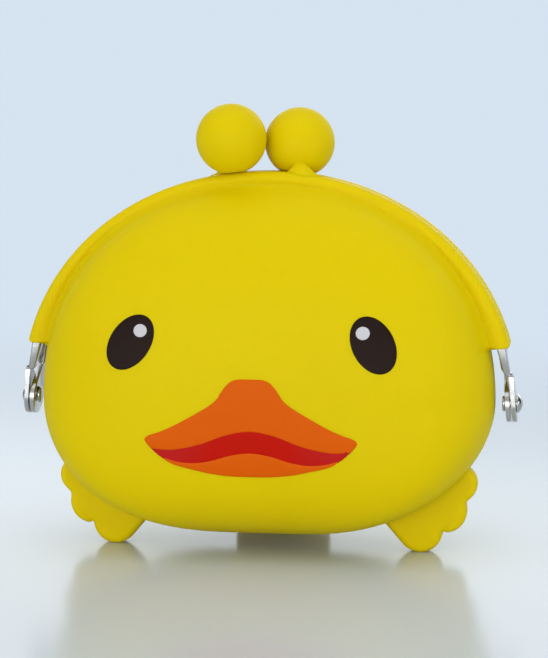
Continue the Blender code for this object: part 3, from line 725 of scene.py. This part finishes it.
def print_patch(name, outline, layer, ink):
    """A thin skin of ink inside a clockwise XZ outline, lying on the front wall."""
    form = PouchForm()
    bm = bmesh.new()
    rings = []
    for inset, height in ((0.0, -0.5), (INK_EDGE * 0.45, 0.6), (INK_EDGE, 1.0)):
        rings.append([bm.verts.new((p.x, height, p.y)) for p in inset_outline(outline, inset)])
    for outer, inner in zip(rings, rings[1:]):
        bridge(bm, outer, inner)
    bmesh.ops.triangulate(bm, faces=[bm.faces.new(rings[-1])])
    for i, normal in ((0, Vector((1, 0, 0))), (1, Vector((0, 0, 1)))):
        first = min(p[i] for p in outline)
        for k in range(1, int((max(p[i] for p in outline) - first) / PRINT_CELL) + 1):
            geom = [*bm.verts, *bm.edges, *bm.faces]
            bmesh.ops.bisect_plane(bm, geom=geom, plane_co=normal * (first + k * PRINT_CELL), plane_no=normal)
    for vert in bm.verts:
        height = vert.co.y * INK + layer * INK
        vert.co.y = -form.depth(vert.co.x, vert.co.z) - height
    patch = piece_from(bm, name, finish(ink))
    patch.data.update()
    if sum(face.normal.y * face.area for face in patch.data.polygons) > 0:
        patch.data.flip_normals()
    modify(patch, "SOLIDIFY", thickness=PRINT_THICKNESS, offset=-1.0)
    return smooth(patch, 60)


def oval(x, z, half_width, half_length, lean, points):
    """A clockwise leaning oval."""
    outline = []
    for i in range(points):
        angle = -2 * math.pi * i / points
        at = Vector((half_width * math.cos(angle), half_length * math.sin(angle)))
        at.rotate(Matrix.Rotation(lean, 2))
        outline.append(Vector((x, z)) + at)
    return outline


def on_front_wall(piece, slot, *nodes):
    """Let a print stand for its CAD nodes, which it hides, and bring its place into its mesh."""
    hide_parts(*nodes)
    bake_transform(piece)


class CASE_OT_eyes(bpy.types.Operator):
    """Print the eyes and their glints"""

    bl_idname = "case.eyes"
    bl_label = "Eyes"

    def execute(self, context):
        for side, mirror, lean, half_length in EYES:
            eye = oval(mirror * EYE_X, EYE_Z, EYE_HALF_WIDTH, half_length, mirror * math.radians(lean), 96)
            patch = print_patch(f"{side}_eye_print", eye, 0, "eye ink")
            on_front_wall(patch, "eye_print", f"{side}_eye")
            glint = oval(mirror * GLINT_X, GLINT_Z, GLINT_HALF_WIDTH, GLINT_HALF_HEIGHT, 0.0, 40)
            patch = print_patch(f"{side}_glint_print", glint, 1, "glint ink")
            on_front_wall(patch, "glint_print", f"{side}_eye_glint")
        return {"FINISHED"}


class CASE_OT_bill(bpy.types.Operator):
    """Print the bill and its mouth"""

    bl_idname = "case.bill"
    bl_label = "Bill"

    def execute(self, context):
        roof = [p for p in mirrored_curve(MOUTH_TOP, MOUTH_LAP) if abs(p.x) < MOUTH_ROOF_END]
        floor = [p for p in mirrored_curve(MOUTH_BOTTOM, -MOUTH_LAP) if abs(p.x) < MOUTH_FLOOR_END]
        end = [Vector((x * MM, z * MM)) for x, z in MOUTH_END]
        red = [*roof, *end, *reversed(floor), *mirrored(end)]
        on_front_wall(print_patch("mouth_print", red, 0, "mouth ink"), "mouth_print", "mouth")
        corner = [Vector(BILL_CORNER) * MM]
        upper = [*mirrored_curve(BILL_TOP), *corner, *reversed(mirrored_curve(MOUTH_TOP)), *mirrored(corner)]
        on_front_wall(print_patch("upper_bill_print", upper, 1, "bill ink"), "bill_print", "upper_bill")
        lower = [*mirrored_curve(MOUTH_BOTTOM), *reversed(mirrored_curve(BILL_BOTTOM))]
        lower = [point for point in lower if abs(point.x) < LOWER_BILL_END]
        on_front_wall(print_patch("lower_bill_print", lower, 1, "bill ink"), "bill_print", "lower_bill")
        return {"FINISHED"}


# Clasp

NECK_JOIN = math.radians(13)  # from a ball's axis to where its neck joins it
NECK = (  # share of the way down the neck, half width, half depth, in millimetres
    (0.5, 2.9, 1.85),
    (0.75, 3.5, 1.9),
    (0.9, 4.1, 1.95),
    (1.0, 4.9, 2.0),
)
NECK_SUNK = 0.55 * MM  # how far the neck's foot runs into the rim
NECK_PLUG = 0.9 * MM  # and its closed end below that


def rim_top(x):
    """Height of the rim's outer curve over a place along the hinge."""
    size = bpy.context.scene.case_pouch
    share = 1 - (abs(x) / size.rim_half_width) ** RIM_POWER
    return size.hinge + size.rim_rise * share ** (1 / RIM_POWER)


def clasp_ball(name, sag):
    """A soft ball, leaning over the other half on its flared neck. It is made as the front half's."""
    size = bpy.context.scene.case_clasp
    pouch = bpy.context.scene.case_pouch
    centre = Vector((size.ball_x, size.ball_y, size.ball_z - sag))
    foot = Vector((size.foot_x, -pouch.rim_depth / 2, rim_top(size.foot_x)))
    up = (centre - foot).normalized()
    across = (Vector((1, 0, 0)) - up * up.x).normalized()
    back = up.cross(across)
    radius = size.ball_radius
    rings = []
    turns = [2 * math.pi * i / 64 for i in range(64)]

    def ring(middle, first, second, axes):
        rings.append([middle + axes[0] * first * math.cos(t) + axes[1] * second * math.sin(t) for t in turns])

    for step in range(1, 30):
        angle = math.pi - (math.pi - NECK_JOIN) * step / 29
        wide = radius * math.sin(angle)
        ring(centre - up * radius * math.cos(angle), wide, wide, (across, back))
    for points in rings:  # the soft ball rests on the other half's rim
        for point in points:
            point.z = soft_larger(point.z, rim_top(point.x), 0.25 * MM)
    level = (Vector((1, 0, 0)), Vector((0, 1, 0)))
    neck_top = centre - up * radius * math.cos(NECK_JOIN)
    joined = radius / MM * math.sin(NECK_JOIN)
    profile = smooth_curve(((0.0, joined, joined), (0.25, size.waist / MM, 1.8), *NECK), 4)
    sunk = foot - Vector((0, 0, NECK_SUNK))
    for share, first, second in profile[1:]:
        tilt = ease(share * 1.2)
        axes = [a.lerp(b, tilt).normalized() for a, b in zip((across, back), level)]
        ring(neck_top.lerp(sunk, share), first * MM, second * MM, axes)
    ring(sunk - Vector((0, 0, NECK_PLUG)), 4.6 * MM, 1.9 * MM, level)
    return smooth(loft(name, rings, finish("silicone"), poles=(centre + up * radius, None)), 60)


class CASE_OT_clasp(bpy.types.Operator):
    """Mould the clasp's balls and finish the steel inside them"""

    bl_idname = "case.clasp"
    bl_label = "Clasp"

    def execute(self, context):
        for side in ("front", "back"):
            ball = clasp_ball(f"{side}_ball", context.scene.case_clasp.ball_sag if side == "front" else 0.0)
            if side == "back":
                half_turn(ball)
            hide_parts(f"{side}_clasp_ball")
            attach(ball, f"{side}_half")
            for node in ("core", "stem"):
                refinish(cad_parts[f"{side}_clasp_{node}"], "steel")
        return {"FINISHED"}


# Wings and tail

WING_Y = -2.6 * MM
WING_HALF_THICKNESS = 2.7 * MM
WING_ROUND = 1.7 * MM
WING_LOBES = (  # centre X, centre Z, radius in millimetres, start and end of the arc in degrees
    (42.7, 15.4, 4.1, 95, -48),
    (39.7, 9.3, 4.85, 10, -80),
    (34.3, 4.95, 5.0, -6, -140),
)
WING_ROOT = ((25.8, 7.2), (29.0, 13.0), (33.8, 17.0))  # behind the pouch's outline, in millimetres
TAIL_HALF_WIDTH = 10.9 * MM
TAIL_Y = 20.7 * MM
TAIL_THICKNESS = 6.0 * MM
TAIL_HEIGHT = 16.0 * MM
TAIL_CORNER = 3.5 * MM
TAIL_EDGE = 1.6 * MM
FLAP_SUNK = 0.9 * MM  # how far wings and tail run into the pouch's wall


def pouch_core(depth_in):
    """A closed cushion that runs inside the wall, for trimming what is moulded onto the pouch."""
    form = PouchForm(-depth_in)
    shares = [1 - (1 - k / 24) ** 2 for k in range(1, 24)]
    rings = []
    for side, order in ((-1, [*shares, 1.0]), (1, shares[::-1])):
        for share in order:
            ring = []
            for i in range(120):
                direction = Vector((math.cos(math.pi * i / 60), math.sin(math.pi * i / 60)))
                at = direction * form.reach(direction) * share
                z = form.hinge + at.y
                ring.append((at.x, side * form.depth(at.x, z), z))
            rings.append(ring)
    poles = ((0, -form.deep, form.hinge), (0, form.deep, form.hinge))
    return loft("pouch_core", rings, poles=poles)


def combine(piece, tool, operation, solver="EXACT"):
    """Cut or join a piece with a tool, which is then removed."""
    modify(piece, "BOOLEAN", object=tool, operation=operation, solver=solver)
    bpy.data.objects.remove(tool)
    return piece


def wing_outline():
    """The right wing's outline in XZ, clockwise: three lobes with filleted notches, then into the pouch."""
    outline = []
    for x, z, radius, start, end in WING_LOBES:
        arc = []
        for i in range(19):
            angle = math.radians(start + (end - start) * i / 18)
            arc.append(Vector((x + radius * math.cos(angle), z + radius * math.sin(angle))) * MM)
        if outline:  # a fillet across the notch
            a, b = outline[-1], arc[0]
            reach = (b - a).length * 0.55
            out = a + (outline[-1] - outline[-2]).normalized() * reach
            into = b - (arc[1] - arc[0]).normalized() * reach
            outline += geometry.interpolate_bezier(a, out, into, b, 9)[1:-1]
        outline += arc
    return [*outline, *(Vector(point) * MM for point in WING_ROOT)]


def wing(name, mirror):
    """A flat flap with rounded edges, trimmed to the pouch's wall."""
    outline = wing_outline()
    rings = []
    edge = quarter(7)
    for side, steps in ((-1, edge[::-1]), (1, edge)):
        for sine, cosine in steps:
            inset = WING_ROUND * (1 - cosine)
            y = WING_Y + side * (WING_HALF_THICKNESS - WING_ROUND * (1 - sine))
            rings.append([(mirror * p.x, y, max(p.y, 0.0)) for p in inset_outline(outline, inset)])
    flap = loft(name, rings, finish("silicone"))
    return smooth(combine(flap, pouch_core(FLAP_SUNK), "DIFFERENCE"), 50)


class CASE_OT_wings(bpy.types.Operator):
    """Mould the wings that the case stands on"""

    bl_idname = "case.wings"
    bl_label = "Wings"

    def execute(self, context):
        for side, mirror in (("left", -1), ("right", 1)):
            flap = wing(f"{side}_wing_flap", mirror)
            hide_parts(f"{side}_wing")
            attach(flap, "pouch")
        return {"FINISHED"}


class CASE_OT_tail(bpy.types.Operator):
    """Mould the tail, a flap at the lower back that the case also stands on"""

    bl_idname = "case.tail"
    bl_label = "Tail"

    def execute(self, context):
        deselect()
        bpy.ops.mesh.primitive_cube_add(size=1.0, location=(0, TAIL_Y, TAIL_HEIGHT / 2))
        context.active_object.scale = (2 * TAIL_HALF_WIDTH, TAIL_THICKNESS, TAIL_HEIGHT)
        tail = applied("tail_flap")
        pick_edges(tail, lambda at: at.z < MM and abs(at.x) > TAIL_HALF_WIDTH - MM)
        bpy.ops.mesh.bevel(offset=TAIL_CORNER, segments=10, affect="EDGES")
        bpy.ops.object.mode_set(mode="OBJECT")
        modify(tail, "BEVEL", width=TAIL_EDGE, segments=7, limit_method="ANGLE", angle_limit=math.radians(40))
        refinish(tail, "silicone")
        smooth(combine(tail, pouch_core(FLAP_SUNK), "DIFFERENCE"), 50)
        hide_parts("tail")
        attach(tail, "pouch")
        return {"FINISHED"}


# Steel frame

ARM_Y = -2.7 * MM  # middle of the front frame's arms
ARM_TOP = 49.0 * MM  # inside the sleeve, where the arm takes over from the channel
ARM_OUT = Vector((51.75, 0, 45.2)) * MM  # where an arm leaves its sleeve
ARM_PINCH = 39.7 * MM
ARM_LAPS = {"front_frame": 0.9 * MM, "back_frame": 0.35 * MM}  # how far inside its ear's top each arm ends
EAR_LEAN = math.radians(4.5)  # the ears' tops lean towards the pouch
ARM_CORNER = 0.28 * MM
ARM_SECTIONS = ((0.95, 1.6), (0.95, 1.6), (0.75, 1.35), (0.4, 0.95))  # half sizes downwards, in millimetres
EAR_NECK = 0.9 * MM  # how far below the pinch the ear's upper disc sits
EAR_NECK_RADIUS = 1.25  # millimetres
CHANNEL_END = ARM_TOP - 0.6 * MM
RIVET_RADIUS = 1.1 * MM
RIVET_DOME = 1.35 * MM
RIVET_PLAY = 0.12 * MM  # between the ears and what holds them
RIVET_TAIL_RADIUS = 1.8 * MM
RIVET_TAIL = 0.6 * MM
FACING_X = (0, math.pi / 2, 0)


def hull(name, discs, corners=36):
    """A body drawn tight round discs, each a centre, its half sizes in millimetres and its turn."""
    deselect()
    for k, (centre, half_sizes, turn) in enumerate(discs):
        bpy.ops.mesh.primitive_circle_add(vertices=corners, radius=MM, location=centre, rotation=turn)
        if k == 0:
            edit_all(bpy.context.active_object)
        bpy.ops.transform.resize(value=half_sizes, center_override=centre)
    bpy.ops.mesh.select_all(action="SELECT")
    bpy.ops.mesh.convex_hull()
    bpy.ops.object.mode_set(mode="OBJECT")
    return applied(name)


def rounded_edges(piece, width):
    """Round the edges where a steel piece's faces turn sharply."""
    corners = {"limit_method": "ANGLE", "angle_limit": math.radians(38)}
    return modify(piece, "BEVEL", width=width, segments=3, loop_slide=False, **corners)


def arm_and_ear(ear_x, lap):
    """The right-hand end of a frame: a folded arm, pinched flat into the ear that the rivet passes."""
    size = bpy.context.scene.case_clasp
    half = size.ear_thickness / 2
    hinge = bpy.context.scene.case_pouch.hinge
    discs = []
    for x in (ear_x - half, ear_x + half):
        discs.append(((x, 0, hinge), (1, size.ear_radius / MM, size.ear_radius / MM), FACING_X))
        discs.append(((x, ARM_Y, ARM_PINCH - EAR_NECK), (1, EAR_NECK_RADIUS, EAR_NECK_RADIUS), FACING_X))
    ear = hull("ear", discs)
    lean = Matrix.Translation((ear_x, 0, hinge)) @ Matrix.Rotation(-EAR_LEAN, 4, "Y")
    ear.data.transform(lean @ Matrix.Translation((-ear_x, 0, -hinge)))
    rounded_edges(ear, 0.2 * MM)
    foot_x = ear_x - (ARM_PINCH - hinge) * math.sin(EAR_LEAN) - lap
    middles = (
        (ARM_OUT.x - 0.9 * MM, ARM_TOP),
        (ARM_OUT.x, ARM_OUT.z),
        (foot_x, ARM_PINCH + 0.3 * MM),
        (foot_x + 0.25 * MM, ARM_PINCH - 0.6 * MM),
    )
    discs = []
    for (x, z), (wide, deep) in zip(middles, ARM_SECTIONS):  # each section is a rounded rectangle
        for side_x, side_y in ((-1, -1), (-1, 1), (1, -1), (1, 1)):
            corner = (x + side_x * (wide * MM - ARM_CORNER), ARM_Y + side_y * (deep * MM - ARM_CORNER), z)
            discs.append((corner, (ARM_CORNER / MM, ARM_CORNER / MM, 1), (0, 0, 0)))
    return combine(ear, hull("arm", discs, corners=16), "UNION", "MANIFOLD")


def steel_frame(name, node, ear_x):
    """One steel arc: the channel inside the sleeve, and an arm and an ear at each end."""
    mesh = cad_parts[node].data.copy()
    mesh.materials.clear()
    mesh.name = name
    steel = linked(name, mesh)
    edit_all(steel)
    bpy.ops.mesh.remove_doubles(threshold=0.001 * MM)
    bpy.ops.mesh.bisect(plane_co=(0, 0, CHANNEL_END), plane_no=(0, 0, 1), use_fill=True, clear_inner=True)
    bpy.ops.object.mode_set(mode="OBJECT")
    for mirror in (1, -1):
        end = arm_and_ear(ear_x, ARM_LAPS[node])
        if mirror < 0:
            end.data.transform(Matrix.Scale(-1, 4, (1, 0, 0)))
            end.data.flip_normals()
        if node == "back_frame":
            half_turn(end)
        combine(steel, end, "UNION", "MANIFOLD")
    if steel.dimensions.x < 2 * ear_x or steel.dimensions.z < 45 * MM:
        raise RuntimeError(f"{name}: an arm didn't join its channel")
    refinish(steel, "nickel")
    return smooth(steel, 35)


def bar(name, radius, depth, x):
    """A round bar on the hinge line, with its middle at x."""
    place = (x, 0, bpy.context.scene.case_pouch.hinge)
    bpy.ops.mesh.primitive_cylinder_add(
        vertices=40, radius=radius, depth=depth, location=place, rotation=FACING_X
    )
    return applied(name)


def rivet(name):
    """The right-hand rivet: a domed head outside, a shank through the ears and a flattened tail."""
    size = bpy.context.scene.case_clasp
    outside = size.outer_ear + size.ear_thickness / 2 + RIVET_PLAY
    inside = size.inner_ear - size.ear_thickness / 2 - RIVET_PLAY
    deselect()
    bpy.ops.mesh.primitive_uv_sphere_add(
        segments=48, ring_count=24, radius=size.head_radius, rotation=FACING_X
    )
    head = applied(name)
    edit_all(head)
    bpy.ops.mesh.bisect(plane_co=(0, 0, 0), plane_no=(1, 0, 0), use_fill=True, clear_inner=True)
    bpy.ops.mesh.select_all(action="SELECT")
    bpy.ops.transform.resize(value=(RIVET_DOME / size.head_radius, 1, 1), center_override=(0, 0, 0))
    bpy.ops.transform.translate(value=(outside, 0, bpy.context.scene.case_pouch.hinge))
    bpy.ops.object.mode_set(mode="OBJECT")
    rounded_edges(head, 0.12 * MM)
    combine(head, bar("shank", RIVET_RADIUS, outside - inside + 0.5 * MM, (outside + inside) / 2), "UNION")
    tail = rounded_edges(bar("tail", RIVET_TAIL_RADIUS, RIVET_TAIL, inside - RIVET_TAIL / 2), 0.22 * MM)
    combine(head, tail, "UNION")
    refinish(head, "nickel")
    return smooth(head, 35)


class CASE_OT_frames(bpy.types.Operator):
    """Press the two steel frames and set the rivets"""

    bl_idname = "case.frames"
    bl_label = "Steel frame"

    def execute(self, context):
        size = context.scene.case_clasp
        for side, ear_x in (("front", size.outer_ear), ("back", size.inner_ear)):
            steel = steel_frame(f"{side}_steel", f"{side}_frame", ear_x)
            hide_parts(f"{side}_frame")
            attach(steel, f"{side}_half")
        right = rivet("right_pin")
        left = half_turn(linked("left_pin", right.data.copy()))
        left.data.name = "left_pin"
        for side, pin in (("right", right), ("left", left)):
            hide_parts(f"{side}_rivet")
            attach(pin, "front_half")
        return {"FINISHED"}


# Stage

CAMERA_AZIMUTH = math.radians(9.37)
CAMERA_DISTANCE = 423.0 * MM
CAMERA_HEIGHT = 98.6 * MM
CAMERA_LOOK = 48.41 * MM
CAMERA_SIDE = 1.503 * MM
CAMERA_ROLL = math.radians(-0.394)
LENS = 105.2  # millimetres, on the 36 mm long side of the picture
FAR_BOARD = (0.12, 0.42)  # metres from the case, over which the board takes the backdrop's tone
SIDE_WALLS = (0.45, 0.8)  # how far to the side the room's dark walls start and are full
SWEEP = (-1.2, 0.55, 0.25, 1.4)  # its front edge, where it starts to rise, its bend's radius and its top
SWEEP_HALF_WIDTH = 1.4
CASE_MIDDLE = (0, 0, 0.045)
LAMPS = (  # name, place, what it faces, width and height, watts
    ("top softbox", (0.05, -0.12, 0.8), CASE_MIDDLE, (1.0, 0.8), 1.4),
    ("front softbox", (-0.2, -0.8, 0.15), CASE_MIDDLE, (1.0, 0.28), 1.7),
    ("low fill", (0, -0.7, 0.045), (0, 0, 0.01), (1.2, 0.07), 1.15),
    ("right softbox", (0.75, -0.4, 0.2), CASE_MIDDLE, (0.5, 0.3), 0.9),
    ("back softbox", (0.1, 0.5, 0.3), CASE_MIDDLE, (0.9, 0.4), 1.2),
)


def pale_board(tone, far_tone):
    """Smooth painted board. Away from the case it shows far_tone to the camera and in reflections."""
    made, tree, shader = new_material("pale board", Roughness=0.2, Specular_IOR_Level=0.3)
    base = drifting(tree, grain(tree, 6), tone, [c * 0.985 for c in tone])
    tree.links.new(base, shader.inputs["Base Color"])
    rays = add_node(tree, "ShaderNodeLightPath").outputs
    seen = {0: rays["Is Camera Ray"], 1: rays["Is Glossy Ray"]}
    seen = add_node(tree, "ShaderNodeMath", {"operation": "MAXIMUM"}, seen).outputs[0]
    share = {0: seen, 1: far_out(tree, "Y", *FAR_BOARD, interpolation_type="SMOOTHSTEP")}
    share = add_node(tree, "ShaderNodeMath", {"operation": "MULTIPLY"}, share).outputs[0]
    glow = add_node(tree, "ShaderNodeEmission", {"Color": (*far_tone, 1.0)}).outputs[0]
    both = add_node(tree, "ShaderNodeMixShader", links={0: share, 1: shader.outputs[0], 2: glow})
    tree.links.new(both.outputs[0], tree.nodes["Material Output"].inputs["Surface"])
    return made


def soft_room():
    """Pale daylight all round, with walls at the sides that only mirror images show dark."""
    world = bpy.data.worlds.new("soft room")
    world.use_nodes = True
    tree = world.node_tree
    rays = add_node(tree, "ShaderNodeLightPath")
    dark = {0: far_out(tree, "X", *SIDE_WALLS, coordinates="Generated"), 1: rays.outputs["Is Glossy Ray"]}
    dark = add_node(tree, "ShaderNodeMath", {"operation": "MULTIPLY"}, dark).outputs[0]
    sky = tree.nodes["Background"].inputs
    tree.links.new(drifting(tree, dark, linear("#F6F8FA"), linear("#38363A")), sky["Color"])
    sky["Strength"].default_value = 0.66
    return world


class CASE_OT_stage(bpy.types.Operator):
    """Set up the pale table, the backdrop, the soft lights and the camera"""

    bl_idname = "case.stage"
    bl_label = "Stage"

    def execute(self, context):
        tones = context.scene.case_colours
        deselect()
        bpy.ops.mesh.primitive_plane_add(size=1.0)
        sweep = context.active_object
        sweep.name = "table_and_backdrop"
        front, rise, radius, top = SWEEP
        bend = [(rise + radius * sine, radius * (1 - cosine)) for sine, cosine in quarter(16)]
        path = [(front, 0.0), *bend, (rise + radius, top)]
        bm = bmesh.new()
        left, right = ([bm.verts.new((side * SWEEP_HALF_WIDTH, y, z)) for y, z in path] for side in (-1, 1))
        for i in range(len(path) - 1):
            bm.faces.new((left[i], right[i], right[i + 1], left[i + 1]))
        bm.to_mesh(sweep.data)
        bm.free()
        sweep.data.materials.append(pale_board(tones.table, tones.backdrop))
        smooth(sweep, 60)
        context.scene.world = soft_room()

        for name, place, target, size, power in LAMPS:
            light = bpy.data.lights.new(name, "AREA")
            light.shape = "RECTANGLE"
            light.size, light.size_y = size
            light.energy = power
            lamp = linked(name, light)
            lamp.location = place
            lamp.rotation_euler = (Vector(target) - Vector(place)).to_track_quat("-Z", "Y").to_euler()

        ahead = Vector((-math.sin(CAMERA_AZIMUTH), math.cos(CAMERA_AZIMUTH), 0))
        side = Vector((ahead.y, -ahead.x, 0)) * CAMERA_SIDE
        place = side - ahead * CAMERA_DISTANCE + Vector((0, 0, CAMERA_HEIGHT))
        look = side + Vector((0, 0, CAMERA_LOOK)) - place
        turn = look.to_track_quat("-Z", "Y").to_matrix() @ Matrix.Rotation(CAMERA_ROLL, 3, "Z")
        camera = linked("camera", bpy.data.cameras.new("camera"))
        camera.data.lens = LENS
        camera.data.sensor_width = 36.0
        camera.matrix_world = Matrix.Translation(place) @ turn.to_4x4()
        context.scene.camera = camera
        context.scene.view_settings.view_transform = "Standard"
        return {"FINISHED"}


# Add-on

STEPS = (
    *(CASE_OT_silicone, CASE_OT_eyes, CASE_OT_bill, CASE_OT_clasp),
    *(CASE_OT_wings, CASE_OT_tail, CASE_OT_frames, CASE_OT_stage),
)


class CASE_PT_panel(bpy.types.Panel):
    """Lists the steps that build the case, and its sizes and colours"""

    bl_idname = "CASE_PT_panel"
    bl_label = "Kiss-lock case"
    bl_space_type = "VIEW_3D"
    bl_region_type = "UI"
    bl_category = "Case"

    def draw(self, context):
        for step in STEPS:
            self.layout.operator(step.bl_idname)
        for name, group in SETTINGS.items():
            box = self.layout.box()
            for prop in group.__annotations__:
                box.prop(getattr(context.scene, name), prop)


CLASSES = (*SETTINGS.values(), *STEPS, CASE_PT_panel)


def register():
    for made in CLASSES:
        bpy.utils.register_class(made)
    for name, group in SETTINGS.items():
        setattr(bpy.types.Scene, name, bpy.props.PointerProperty(type=group))


def unregister():
    for name in SETTINGS:
        delattr(bpy.types.Scene, name)
    for made in reversed(CLASSES):
        bpy.utils.unregister_class(made)


def main():
    register()
    bpy.ops.case.silicone()
    bpy.ops.case.eyes()
    bpy.ops.case.bill()
    bpy.ops.case.clasp()
    bpy.ops.case.wings()
    bpy.ops.case.tail()
    bpy.ops.case.frames()
    bpy.ops.case.stage()


if __name__ == "__main__":
    main()
